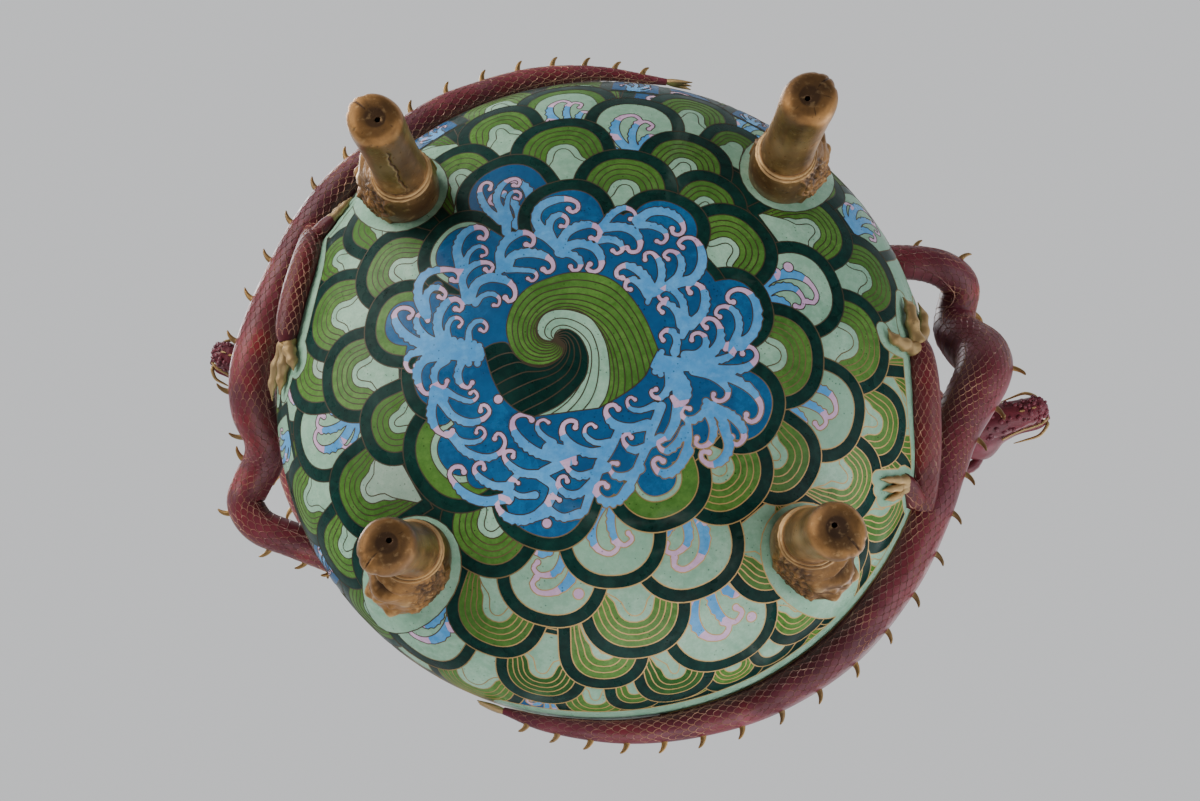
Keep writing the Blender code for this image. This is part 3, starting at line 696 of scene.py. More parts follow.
# Wave fingers of the medallion: size, and a line from the root round the curl (chart mm)
FINGERS = [
    (2, [(-61.2, -82.3), (-69.6, -91.2), (-74.5, -101.8), (-74.9, -108.5), (-72, -111.5), (-68.3, -109.8),
        (-69, -106.1)]),
    (2, [(-59.3, -85.4), (-64.1, -96.6), (-63.1, -105), (-58.7, -110.8), (-53.7, -112.4), (-50.7, -110),
        (-51.8, -106.6), (-54.5, -107.5)]),
    (1, [(-56.3, -83.3), (-57.9, -92.1), (-56.9, -100), (-53.3, -102.9), (-49.9, -100.6), (-50.6, -96.8),
        (-53.5, -98.1)]),
    (3, [(-84.9, -54.3), (-87.3, -64.6), (-84.4, -73.9), (-78.3, -78.6), (-72.8, -78.6), (-69.6, -74.9),
        (-70.8, -70.7), (-73.8, -71.9)]),
    (1, [(-82.4, -54), (-80.1, -61.6), (-75, -65.9), (-70.2, -64.4), (-69.1, -60.5), (-72.1, -59.4)]),
    (2, [(-80.9, -33.6), (-83.2, -44.3), (-79.5, -51.4), (-73.3, -54.8), (-67.3, -54.4), (-65.1, -51),
        (-67.5, -48.5), (-69.8, -50.6)]),
    (3, [(-105.1, -25.4), (-110, -34.7), (-109.8, -45.3), (-104.4, -51.5), (-95.3, -52.6), (-88.5, -51.6),
        (-85.3, -47.7), (-86.9, -43.9), (-90, -45.6)]),
    (2, [(-105.1, -26.2), (-105.4, -35.9), (-102, -40.8), (-96.9, -40.6), (-93.4, -37.1), (-94.8, -33.9),
        (-97.6, -35.4)]),
    (3, [(-94.9, -7.4), (-97.5, -16.1), (-96.4, -24.5), (-91.5, -31.5), (-86.5, -32.7), (-83, -29.2), (-84,
        -25.5), (-87.2, -26.7)]),
    (1, [(-91.1, -8), (-91.6, -15.6), (-88.9, -20.5), (-84.9, -20.8), (-82.7, -17.9), (-84.5, -15.5)]),
    (1, [(-78.7, -6.2), (-78.5, -12.9), (-75, -17.4), (-70.7, -17.8), (-67.9, -14.6), (-69.3, -11.3),
        (-71.9, -12.8)]),
    (3, [(-97.8, -5.1), (-108, -7.2), (-117.7, -13.8), (-123.6, -21.4), (-125.3, -27.7), (-121.5, -30.8),
        (-115.8, -29.7), (-113.2, -26.3), (-115.6, -24.1)]),
    (2, [(-99, -6.4), (-105.5, -11.7), (-110.3, -18.5), (-110.5, -24), (-106.6, -26.2), (-103.1, -24),
        (-103.9, -20.8)]),
    (2, [(-97.7, -0.9), (-107, -1.7), (-114.4, -0.4), (-117.1, 4.4), (-115.1, 8.9), (-111.6, 9.2), (-111,
        6.3)]),
    (3, [(-96.8, 1.1), (-105.2, 3.5), (-109.4, 9.8), (-108.4, 18.1), (-105, 23.3), (-100.9, 23.2), (-100.3,
        20)]),
    (2, [(-92.1, 4.1), (-97.9, 9), (-99, 15.5), (-96.2, 19.8), (-92.6, 20), (-91.4, 17)]),
    (2, [(-82.6, 5.4), (-84.7, 13.2), (-82.7, 19.5), (-78.7, 21.7), (-76.3, 18.9)]),
    (1, [(-91.9, 23.3), (-84.1, 27.5), (-77, 29.8), (-73.1, 27.1), (-75.1, 23.8), (-77.4, 25)]),
    (2, [(-94.5, 28.9), (-88.2, 37.3), (-78.7, 41.8), (-70.5, 40.7), (-66, 36.7), (-68, 32.8), (-71, 32.7),
        (-71.3, 35.6)]),
    (3, [(-99.1, 23.7), (-100.6, 35.8), (-97.2, 45.6), (-91.2, 49), (-88.2, 46.6)]),
    (1, [(-90.2, 48.4), (-81.7, 53), (-72.8, 53.2), (-68.6, 49.4), (-70.2, 45.8), (-73.3, 45.7), (-73.8,
        48.2)]),
    (2, [(-88.2, 49.3), (-80.9, 58.4), (-68.7, 62.8), (-60, 60.1), (-56.9, 54.5), (-59, 49.9), (-62, 49.4),
        (-63, 52.1)]),
    (3, [(-55.2, 86.3), (-69, 87.7), (-80.1, 83.5), (-87, 77.2), (-90.2, 71.7), (-87.6, 67.8), (-82.8,
        67.8), (-81.4, 70.7)]),
    (2, [(-54.4, 80), (-63.7, 78.9), (-71.3, 74.6), (-75.3, 69.7), (-73.6, 66.3), (-70, 66.2), (-69.4,
        69.1)]),
    (1, [(-39.7, 85), (-47.7, 85.4), (-53.4, 82.3), (-54.7, 78.3), (-52.1, 76.2), (-49.4, 78)]),
    (2, [(-34.4, 73.5), (-46.3, 72.1), (-53.9, 67.5), (-57.7, 62.7), (-56, 59.6), (-52, 60), (-52.3, 62.8)]),
    (3, [(-25.7, 63.8), (-36.7, 61.3), (-45.9, 55.1), (-51.6, 47.7), (-52.5, 42), (-48.6, 38.9), (-43.8,
        39.2), (-41.4, 42)]),
    (1, [(-29.1, 55.4), (-33.5, 52.2), (-37.6, 47.9), (-37.9, 43.6), (-34.6, 41.9), (-31.8, 43.6)]),
    (3, [(1.3, 60.8), (-8.4, 61), (-17.8, 57.1), (-23.3, 50.8), (-23.3, 45.1), (-19.5, 42.7), (-15.9, 43.8),
        (-16.4, 46.6)]),
    (1, [(3.4, 55.3), (-4.9, 55.3), (-10.6, 51.2), (-10.6, 46.7), (-7.4, 44.6), (-4.9, 46.4)]),
    (3, [(24.9, 45.1), (15.1, 46.9), (6, 44.6), (1.3, 39), (1.8, 34.9), (5.6, 33.7), (8.2, 36.1)]),
    (1, [(29.3, 33.8), (21.1, 36.6), (15.1, 35.6), (13.1, 31.8), (15.1, 29.1), (17.7, 30.6)]),
    (2, [(32.5, 52.7), (24.6, 57.1), (16.7, 59.3), (12, 56.2), (10.9, 52.2), (13.7, 50.4), (15.6, 52.4)]),
    (2, [(20.7, 70.1), (13.6, 74.1), (6.7, 74.1), (3.1, 70.3), (4.2, 67.1), (7.5, 67.4)]),
    (2, [(1.4, 69.4), (-5.2, 72.1), (-14.4, 74.1), (-20.6, 70.3), (-21.6, 66.3), (-18.1, 64.5), (-16.5,
        66.9)]),
    (2, [(-6.8, 78.8), (-14.4, 84.2), (-21.6, 84.1), (-25.9, 79.6), (-25.6, 75.5), (-22.2, 74.6), (-21,
        77.3)]),
    (3, [(14.4, 81.1), (8.6, 87.5), (1, 88.9), (-3.8, 84.4), (-3.5, 79.7), (-0.2, 78.3), (1.7, 80.3)]),
    (3, [(48.3, 59.5), (43.6, 67.1), (36.6, 72.2), (30.3, 70.8), (28.2, 66.3), (31.2, 64), (33.9, 65.7)]),
    (2, [(46.7, 47.7), (41.9, 54.9), (35.9, 59.7), (31.7, 57.6), (31.7, 53.8), (35, 52.8)]),
    (3, [(-33.8, 95), (-46.3, 98.7), (-55.9, 97), (-61.6, 91.5), (-60.9, 86.8), (-57, 86.1), (-55, 88.4)]),
    (2, [(-14, 95.9), (-23.9, 97.7), (-31, 93), (-32.1, 88.1), (-28.6, 86.3), (-25.6, 88)]),
    (2, [(40.8, 2.1), (41.8, -4.5), (39.9, -9.2), (35.6, -10.6), (32.6, -7.5), (34, -4.7)]),
    (2, [(46.8, 3.9), (53.5, 2.7), (58.1, -1.8), (58.3, -7.3), (54.9, -9.9), (51.1, -8.4), (50.6, -5.4)]),
    (3, [(48.4, 5.5), (59.6, 3.1), (66.2, -4.2), (67.4, -12.2), (64.7, -17.8), (60.1, -18.9), (56.9, -15.5),
        (59.2, -13.3)]),
    (2, [(51.6, 8.3), (62.8, 6.7), (72.6, 3.1), (76.2, -1.1), (74, -4.4), (70.4, -3.7), (70.3, -0.8)]),
    (3, [(51.6, 9.6), (66, 11.3), (80.3, 9.9), (88.1, 4.8), (88.7, -0.1), (85.1, -3.2), (80.5, -1.7), (80.4,
        1.3)]),
    (3, [(53.1, 12.3), (69.2, 15.3), (83.5, 21.7), (91.1, 30.7), (90.4, 38), (86.3, 41.4), (82.3, 40),
        (82.6, 37.3)]),
    (2, [(51.5, 12.8), (62.7, 16.3), (70.8, 22.4), (70.9, 27.7), (66.9, 30.3), (62.8, 28.7), (63.2, 26.3)]),
    (2, [(41.2, 13.5), (46.7, 20.1), (47.7, 27.8), (45.1, 32.7), (40.5, 32), (39.1, 29)]),
    (2, [(37.5, 14.4), (36.6, 23), (32.8, 28.6), (28.7, 29), (26.9, 25.9), (29.8, 24.4)]),
    (2, [(61.1, 33.4), (53.4, 40.4), (47.6, 41.3), (44.5, 38.2), (45.9, 34.7), (49.2, 35.2)]),
    (2, [(58.7, 34.6), (62.7, 45.6), (61.1, 54.1), (56.3, 56.9), (52.8, 55.3), (53.4, 52.1)]),
    (3, [(61.9, 33.7), (72.4, 38.1), (79.5, 44.9), (80.9, 51.1), (77.5, 55), (73.4, 53.6), (74, 50.7)]),
    (3, [(69.1, 43.8), (71.8, 56.4), (67.8, 64.1), (61.3, 67), (56.3, 64), (56.6, 59.9), (60.5, 60.1)]),
    (2, [(75.6, -4.7), (78.5, -14.3), (77.1, -22.6), (72.2, -26.7), (67, -26.1), (64.8, -22.2), (67.4,
        -20.3)]),
    (3, [(77.2, -3.2), (85.9, -10.1), (89.6, -20.5), (88.7, -30.8), (84, -37.1), (77.6, -38.2), (72.6,
        -34.7), (72.5, -30.4), (75.6, -30.1)]),
    (2, [(47, -15.9), (45.5, -27.7), (40.8, -34.5), (35.4, -36.2), (31.5, -32.7), (33.1, -29.3), (36.1,
        -29.9)]),
    (2, [(44.6, -14.2), (42.4, -21), (38.5, -25.9), (33.7, -27.3), (31.5, -24.2), (33.7, -21.7)]),
    (3, [(49.9, -14.4), (56.4, -21.7), (58.6, -30.4), (57, -37.9), (52.2, -40.4), (48.6, -37.6), (50.1,
        -34.4)]),
    (3, [(28, -33.9), (25.2, -41.1), (18.9, -47.7), (12.2, -50.3), (7.6, -47.6), (7.6, -43.4), (10.7,
        -42.6)]),
    (2, [(25.5, -32.2), (21.7, -37.4), (16.9, -41.3), (13, -40), (12.5, -36), (15.3, -35.4)]),
    (2, [(31.2, -35.7), (33.3, -44.8), (32.2, -53.4), (28.3, -58.9), (24.1, -58.3), (23.9, -54.5)]),
    (2, [(37.7, -38.5), (43.2, -45.2), (45.1, -53), (42.8, -59.1), (38, -60.7), (35, -57.6), (37.4, -55.3)]),
    (3, [(41.7, -39.9), (51.9, -43.8), (56.8, -52.9), (56.6, -63.5), (52.8, -69.5), (47.1, -69.5), (43.7,
        -65.7), (46.1, -63.3)]),
    (3, [(19.7, -80.1), (27, -86), (36.8, -86.6), (44, -82.4), (47.2, -76.2), (44.7, -71.8), (40.6, -72.5),
        (40.2, -75.7)]),
    (2, [(20.4, -77.7), (28.5, -76.8), (35, -73.6), (36.8, -69), (34, -65.6), (31, -66.8)]),
    (2, [(-1.4, -75.4), (4.3, -83.6), (11.6, -88.7), (17.1, -86.9), (18.7, -82.7), (15.6, -81.3)]),
    (3, [(-0.9, -75.4), (10.4, -75.5), (17.8, -71.9), (21.1, -65.8), (20, -60.3), (15.6, -59.3), (13.4,
        -62)]),
    (2, [(-3, -67.3), (3.5, -67.3), (9.1, -64.7), (10.7, -60.5), (7.5, -58.2), (5.1, -60.1)]),
    (3, [(-26.2, -63.7), (-21.5, -72), (-13.5, -76.4), (-6.2, -76.7), (-2.5, -72.6), (-4.1, -67.7), (-7.6,
        -68.4)]),
    (3, [(-24.6, -61.9), (-15, -64.6), (-6.1, -61.7), (-1.8, -54.8), (-2.1, -48.8), (-6.1, -46.3), (-9.8,
        -48.6), (-8.2, -51.3)]),
    (2, [(-26.2, -59.1), (-18.9, -57.4), (-14.1, -52.9), (-14.6, -48.2), (-18.1, -47.5), (-19.5, -50)]),
    (2, [(-30.3, -67.5), (-32.2, -75.3), (-30.5, -81.6), (-25.7, -84.4), (-21.7, -81.3), (-22.3, -76.8),
        (-25.4, -76.7)]),
    (3, [(-36.1, -73.2), (-40.1, -81.3), (-38, -89.4), (-30.7, -94.1), (-21.8, -95.3), (-16, -92.6), (-15.5,
        -88), (-19, -86.1), (-21, -88.5)]),
    (3, [(-60, -51), (-61, -60), (-57.2, -68), (-49.9, -72.7), (-44.2, -72.5), (-41.2, -68.7), (-42.4,
        -64.4), (-45.8, -65.3)]),
    (3, [(-56.7, -51.7), (-53.6, -57.8), (-46.3, -59.3), (-37.4, -58), (-30.9, -54.2), (-29.6, -49), (-32.8,
        -46.5), (-35.5, -48.7)]),
    (1, [(-56.7, -49.7), (-48.6, -48.6), (-41.3, -47.5), (-39, -44.1), (-41.7, -41.3), (-44.3, -43.1)]),
    (3, [(-78.9, -32), (-74.5, -41.4), (-66.4, -44.4), (-57.4, -42.2), (-52.4, -37.6), (-51.8, -31.7), (-55,
        -29.1), (-57.5, -31.8)]),
    (1, [(-75, -29.3), (-71, -33.5), (-65.3, -34.4), (-60.9, -31.3), (-61.5, -27.1), (-64.2, -27.4)])]

# light-blue masses the fingers rise from: centre line and the width at each end
TRUNKS = [
    ([(-57.7, -74.5), (-58.1, -81.5), (-58.4, -87.3)], 6.0, 6.9),
    ([(-83.8, -46.1), (-84.3, -51.5), (-84.1, -56.5)], 3.0, 6.0),
    ([(-81.7, -30.2), (-79.2, -32.6), (-75.9, -31.1)], 3.9, 4.5),
    ([(-105, -21.9), (-105.4, -25.4), (-105, -29.7)], 3.0, 4.5),
    ([(-96.9, -2.5), (-88.5, -1.1), (-81, 0.6), (-73.4, 1.5)], 12.6, 9.9),
    ([(-94.8, -0.7), (-94.9, -4.1), (-95.6, -8.3)], 7.8, 5.1),
    ([(-99.6, 22.8), (-95.5, 24.2), (-92.9, 27.3)], 6.0, 5.4),
    ([(-91.6, 48.3), (-88.2, 49)], 5.1, 4.5),
    ([(8.1, 49.4), (5.1, 56.1), (1.3, 62.4), (-2.4, 67.1)], 5.1, 6.0),
    ([(-32, 58.5), (-23.3, 60.2), (-18.6, 64.3), (-25.7, 68), (-34.9, 72.3)], 7.5, 6.6),
    ([(-36.8, 73.8), (-29.2, 80.2), (-31.8, 89.5), (-38.2, 95.7)], 6.0, 5.4),
    ([(-48.7, 72.3), (-54.7, 78.5), (-56, 84.7)], 3.9, 6.0),
    ([(-2.9, 69.4), (-6.5, 80.3), (-11.3, 94.3)], 6.6, 5.1),
    ([(24.6, 58), (20.7, 66.2), (17.1, 75.3), (13.3, 81.9)], 5.1, 5.1),
    ([(32.8, 34.2), (29.6, 42.5), (26.5, 50.1), (25.4, 57.1)], 6.0, 5.4),
    ([(40.1, 9.5), (42.6, 18.3), (42.6, 31.1), (40.7, 43.1), (36.4, 51.5)], 9.0, 5.4),
    ([(48.3, 42.9), (48.6, 51.6), (47.1, 61.4)], 3.9, 5.1),
    ([(58.7, 30.6), (62.7, 34.5), (69.1, 42.2)], 4.5, 5.4),
    ([(31.7, 9.2), (42, 9.4), (52.4, 10.2)], 11.1, 6.6),
    ([(45.3, -7.1), (46.3, -11.2), (47.6, -16.6)], 3.6, 8.4),
    ([(72.9, -0.9), (75.3, -4), (77.9, -5.9)], 4.5, 6.6),
    ([(25.1, -27.4), (27.7, -33.2), (33.2, -37.2), (41.2, -39.5)], 3.3, 5.1),
    ([(18.8, -79), (22.1, -79.4)], 3.6, 4.5),
    ([(-2.5, -71.3), (-0.5, -74.7)], 3.9, 4.5),
    ([(-39, -72.3), (-33.6, -68.9), (-27.5, -62.7), (-24.2, -58.3)], 5.1, 6.0),
    ([(-61.6, -48.8), (-59, -50.2), (-55.8, -51.1)], 5.1, 4.5)]
FOAM = [
    (-72.4, -2.9, 2.1), (-70.8, 0.9, 2.3), (-71.4, 4.5, 2.1), (-73.3, 7.6, 2.3), (-75.4, -4.7, 2.0), (-79.6, -5.6, 2.2), (-83.6, -6.2, 2.4), (-88, -7.2, 2.6),
    (-78.4, 7.4, 2.2), (-83, 6.6, 2.4), (30.6, 3.7, 2.1), (28.7, 7, 2.1), (28.4, 10.6, 2.1), (29.3, 14.1, 2.1), (32.5, 15.7, 2.0), (33.2, 2.3, 2.0)]
GROUND = [
    (-81.5, -23.3, 9.3), (-72.7, -33, 10.5), (-49.7, -66, 6.3), (-42.3, -61.1, 9.0), (8.3, -79.9, 5.1),
    (1.1, -71, 9.0), (51.8, -62.5, 5.4), (49.9, -49, 7.8), (42.5, -36.5, 10.5), (82.7, 1, 6.0), (76,
    -7.7, 9.9), (69.2, 10.8, 12.0), (-56.7, 73.4, 6.0), (-46.3, 78.3, 9.0), (1.4, 81.1, 5.7), (57.1,
    49.8, 7.8), (48.3, 43.7, 10.5), (42, 59.6, 8.4), (-94.5, 28.9, 6.6), (-88.2, 38.9, 9.0), (-95, 12.5,
    9.0), (65.9, 30.3, 10.5), (23, 70.9, 9.0), (61.6, -22, 7.5), (-65.4, 59, 10.5), (-99.6, -11.2, 9.0),
    (43.8, -11.2, 9.0)]
BETWEEN = [
    (8.1, 81.1, 4.5), (-94.5, 36.1, 6.9), (-72.1, 73, 7.8), (-83.5, 67.8, 5.1), (-84.5, -11.7, 5.4),
    (14.8, -81.9, 3.9), (54.2, -58.1, 2.7), (-98.8, -41.9, 3.6)]
PEARLS = [(-60.9, 29.3, 2.9), (-33, 101.2, 3.0)]

GREEN_OUT = [(31, 0.8), (28.6, -5.8), (24.7, -15.6), (19.2, -25.6), (11.4, -35.7), (2.6, -42.5), (-8.5,
    -45.7), (-21.2, -45.9), (-34, -42.2), (-45.2, -36.6), (-53, -26.7), (-56.4, -15), (-55.2, -5),
    (-51.1, 3.4), (-44.7, 8.5), (-36.7, 10.1), (-29.6, 8.6), (-24.6, 5), (-23.4, 0.9), (-24.6, -2.7),
    (-27, -4.9)]
GREEN_IN = [(-2.9, 35.6), (1.3, 28.5), (3.4, 17.3), (2.3, 2.7), (-0.8, -7.1), (-7.2, -17.1), (-16.3,
    -21.8), (-25.9, -23.2), (-33.8, -20.9), (-38, -15.1), (-38.3, -9.3), (-35.3, -5.4), (-30.5, -4.2),
    (-27.5, -5.1)]
PALE_IN = [(-39.8, 40.1), (-27.2, 34.6), (-17.8, 26.8), (-10.7, 17.3), (-9, 7.6), (-10.8, -0.6), (-14.7,
    -7.2), (-20.7, -11.1), (-25.5, -10), (-28.3, -7.1), (-27.8, -5.4)]
DARK_UP = [(-69.6, -1.1), (-63.2, -4), (-56, -3.7), (-51.1, 3.7), (-44.7, 8.9), (-36.7, 10.4), (-29.3,
    8.9), (-24.3, 5.1), (-23, 0.9), (-24.5, -2.7), (-26.7, -4.7)]
GREEN_END = [(31, 0.8), (27.8, 7.3), (23.7, 16.3), (16.4, 23.6), (7.3, 29.8), (-2.9, 35.6)]
DARK_END = [(-39.8, 40.1), (-49.4, 36.5), (-58, 28.7), (-64.1, 17.5), (-67.4, 7.6), (-69.6, -1.1)]


def resample(pts, n):
    pts = np.asarray(pts, float)
    run = np.concatenate([[0], np.cumsum(np.linalg.norm(np.diff(pts, axis=0), axis=1))])
    t = np.linspace(0, run[-1], n)
    return np.stack([np.interp(t, run, pts[:, 0]), np.interp(t, run, pts[:, 1])], 1)


def medallion():
    blue = new_cell()
    for th, s_in, a in LOBES:
        paint(local(th, s_in - a, cap(a + BAND, n=30, depth=1.6 * a)), DARK, tint=0.2)
    disc(0, 0, 84, DARK, 40)
    for th, s_in, a in LOBES:
        paint(local(th, s_in - a, cap(a, n=26, depth=1.6 * a)), DEEP, blue, 0.25)
    disc(0, 0, 78, DEEP, 40, blue)
    for x, y, r in GROUND:
        disc(x, y, r, DEEP, 22, blue)
    # green rims of four lobes
    for th, s_in, a, rim, inner in ((68, 104, 24, 9.5, 3.0), (145, 128, 28, 9.0, 4.0),
                                    (190, 139, 20, 6.0, 0.0), (217, 124, 21, 3.4, 0.0)):
        region = local(th, s_in - a, cap(a, n=26, depth=0.15 * a))
        paint(region, CELADON if rim < 4 else LEAF, tint=0.4)
        if inner:
            paint(local(th, s_in - a, cap(a - rim, n=22, depth=0.2 * a)), CELADON, tint=0.3,
                  clip=region)
        paint(local(th, s_in - a, cap(a - rim - inner, n=22, depth=1.2 * a)), DEEP, blue, 0.25)
    for x, y, r in BETWEEN:
        disc(x, y, r, DEEP, 20, blue)
    # masses, then fingers, one light-blue cell for all that touch
    light = new_cell()
    for pts, w0, w1 in TRUNKS:
        path = smooth_path(pts, 6)
        n = len(path)
        stroke(path, [w0 + (w1 - w0) * i / (n - 1) for i in range(n)], lambda f: LIGHT, light, 0.3)
        for (x, y), w in ((path[0], w0), (path[-1], w1)):
            disc(x, y, w / 2, LIGHT, 16, light)
    for x, y, r in FOAM:
        disc(x, y, r, LIGHT, 14, light)
    for size, pts in sorted(FINGERS, key=lambda item: item[0]):
        finger(pts, size, light, 0.15 + 0.5 * rng.random())
    for x, y, r in PEARLS:
        disc(x, y, r, LILAC, 16)
    # the swirl: dark, celadon and leaf-green bands that curl in together
    n = 60
    outer = resample(smooth_path(GREEN_OUT, 6), n)
    inner = resample(smooth_path(GREEN_IN, 6), n)
    pale = resample(smooth_path(PALE_IN, 6), n)
    upper = resample(smooth_path(DARK_UP, 6), n)
    t = np.linspace(0, 1, n)[:, None]

    def bands(first, second, end, count, colour, tints):
        """Bands that run from an end line and close in on each other."""
        end = resample(smooth_path(end, 6), 61) if end is not None else None
        body = [first, second[::-1]]
        if end is not None:
            body.append(end[::-1])
        body = np.concatenate(body)
        paint(body, colour, tint=tints(0))
        for k in range(1, count):
            f = k / count
            line = first * (1 - f) + second * f
            if end is not None:
                chord = first[0] * (1 - f) + second[0] * f
                line = line + (end[int(round(60 * f))] - chord) * (1 - t) ** 3
            rest = [line, second[::-1]]
            if end is not None:
                rest.append(end[int(round(60 * f)):][::-1])
            paint(np.concatenate(rest), colour, tint=tints(k), clip=body)

    bands(pale, upper, DARK_END, 7, DARK, lambda k: 0.75 + 0.25 * (k % 2))
    bands(inner, pale, None, 4, CELADON, lambda k: 0.2 + 0.3 * (k % 2))
    bands(outer, inner, GREEN_END, 9, LEAF, lambda k: 0.25 + 0.35 * (k % 2))


# plain celadon round whatever sits on the enamel
def plan_patch(theta, r_mid, half_w, half_in, half_out):
    a0 = math.radians(theta)
    pts = []
    for i in range(28):
        t = TAU * i / 28
        x = r_mid + (half_out if math.cos(t) > 0 else half_in) * math.cos(t)
        y = half_w * math.sin(t)
        r, th = math.hypot(x, y), math.atan2(y, x) + a0
        s = arc_at_radius(min(r, 199.5))
        if r > 199.5:
            s += (r - 199.5)
        pts.append((s * math.cos(th), s * math.sin(th)))
    return pts


# Stations of a dragon: angle round the bowl in degrees, radius, height and
# half thickness in millimetres.
RIGHT_BODY = [
    (107.0, 203.5, 168, 2.2), (99, 205.4, 166, 4.8), (87, 207.5, 165, 7.0),
    (75, 208.8, 166, 8.8), (62, 210.7, 168, 10.5), (47.5, 211.6, 168, 12.0),
    (33, 210.1, 167, 12.9), (21, 209.5, 168, 13.4), (12.5, 211, 174, 14.0),
    (5.5, 216, 182, 14.8), (0, 226, 190, 16.0), (-4.8, 237, 199, 17.2),
    (-8.4, 241, 211, 17.8), (-11.6, 236, 223, 16.6), (-14.6, 233, 233, 14.2),
    (-17.8, 238, 237, 12.8), (-21, 245, 230, 12.2), (-24.2, 236, 221, 11.6),
    (-27.6, 216, 218, 10.8), (-31.5, 193, 226, 10.8), (-33.5, 183, 244, 10.8),
    (-27, 188, 261, 10.8), (-17, 199, 274, 11.0), (-8, 211, 284, 11.6),
    (-2.5, 225, 290, 13.2)]
RIGHT_HEAD = [(-2.5, 219, 289, 12.6), (-1.6, 233, 291, 15.4), (-1.8, 246, 292, 15.6),
              (-2.6, 259, 291, 12.4), (-3.2, 272, 290, 10.6), (-3.8, 285, 290, 10.4),
              (-4.2, 292, 289, 7.0)]
LEFT_BODY = [
    (281, 207, 168, 2.2), (269, 208, 166, 4.6), (258.5, 209, 167, 7.4),
    (248, 208.8, 168, 9.2), (238, 208.8, 167, 10.3), (221, 211, 168, 11.0),
    (210, 211, 168, 12.0), (199.5, 211, 170, 13.0), (191, 214, 172, 13.6),
    (184, 217, 177, 14.0), (178.5, 216, 186, 14.0), (174.5, 211, 198, 13.4),
    (171.5, 214, 209, 12.6), (168.5, 224, 216, 12.0), (165.5, 231, 219, 11.6),
    (161.5, 226, 221, 11.2), (157.5, 209, 225, 11.0), (152.5, 191, 234, 10.8),
    (150.5, 183, 249, 10.8), (157, 189, 263, 10.8), (168, 198, 275, 11.0),
    (180, 207, 284, 11.6), (189, 213, 290, 13.0)]
LEFT_HEAD = [(188.5, 208, 289, 12.6), (190.5, 220, 291, 15.4), (191.5, 231, 292, 15.6),
             (191.8, 242, 291, 12.4), (192.2, 250, 290, 10.6), (192.6, 259, 290, 10.0),
             (192.8, 265, 289, 6.6)]
RIGHT_LIMBS = [
    [(21, 203.3, 160, 9.5), (14, 198, 146.6, 9.3), (7, 193.5, 135.7, 9.0), (0.5, 191.5, 131.6, 8.5),
     (-4.5, 190.2, 130.3, 7.3), (-7.0, 188.3, 129.3, 5.0)],
    [(21, 199, 150, 7.0), (19.5, 192, 141, 5.6), (19.2, 188, 134, 4.2)]]
RIGHT_CLAWS = [
    [(-5.0, 187.5, 128, 4.4), (-5.4, 180, 119, 3.8), (-6.4, 173, 113.5, 3.2), (-8.4, 170, 111.5, 1.2)],
    [(-5.8, 189, 129, 4.8), (-9.5, 187.5, 126, 3.8), (-12.8, 188.5, 128, 3.4), (-15.6, 187, 131, 1.4)],
    [(-6.0, 190, 131, 4.2), (-8.5, 195, 140, 3.4), (-12.5, 199, 148, 2.8), (-15.5, 199, 152, 1.2)],
    [(19.2, 189.5, 135, 3.4), (20.4, 184, 126, 2.6), (22.0, 175, 117.5, 1.4)],
    [(19.6, 190, 136, 3.2), (21.8, 185, 127, 2.6), (23.6, 178.5, 120.5, 1.4)],
    [(20.2, 190.5, 137, 3.2), (23.0, 187, 130, 2.4), (24.8, 182, 124.5, 1.4)]]
LEFT_LIMBS = [
    [(209, 204, 160, 8.2), (206, 199.5, 147, 8.3), (201, 195, 135, 8.3), (195, 193.2, 131, 8.0),
     (189, 192.2, 130.2, 7.1), (186.4, 191, 130, 4.9)],
    [(208.5, 200, 150, 5.6), (210.5, 197, 143, 4.6), (212, 195, 141, 3.4)]]
LEFT_CLAWS = [
    [(187.0, 190.5, 131, 4.2), (184.6, 188.5, 126, 3.8), (182.4, 186, 125.5, 3.2), (181.0, 185.5, 128, 1.2)],
    [(186.6, 192, 132, 4.4), (183.5, 192, 133, 3.6), (180.4, 193.5, 137, 3.2), (177.6, 195, 141, 1.3)],
    [(186.8, 193, 136, 4.0), (183.0, 198, 144, 3.2), (180.0, 200.5, 150, 2.6), (177.5, 201, 153, 1.2)],
    [(211.0, 197, 143, 3.0), (213.5, 196.5, 144, 2.4), (216.5, 198.5, 151, 1.3)],
    [(211.4, 196.5, 142, 3.0), (214.2, 194, 139, 2.4), (217.0, 193.5, 139, 1.3)]]


def path_patch(stations, margin, per=3):
    """Celadon along a limb or a body that lies on the enamel."""
    rows = catmull(stations, per)
    pts, half = [], []
    for th, r, z, w in rows:
        if z > 205 or r > 232:
            break
        if z <= BELLY_Z:
            # nearest place of the lower belly, by its direction from the centre
            k = math.hypot(r / BODY_R, (z - BELLY_Z) / LOWER_H)
            s = arc_at_height(BELLY_Z + (z - BELLY_Z) / k)
        else:
            k = math.hypot(r / BODY_R, (z - BELLY_Z) / UPPER_H)
            s = arc_at_height(BELLY_Z + (z - BELLY_Z) / k)
        a = math.radians(th)
        pts.append((s * math.cos(a), s * math.sin(a)))
        half.append(0.75 * w + margin)
    if len(pts) > 2:
        cell = 1
        stroke(pts, [2 * h for h in half], lambda f: CELADON, cell, 0.35)
        for (x, y), h in ((pts[0], half[0]), (pts[-1], half[-1])):
            disc(x, y, h, CELADON, 12, cell)


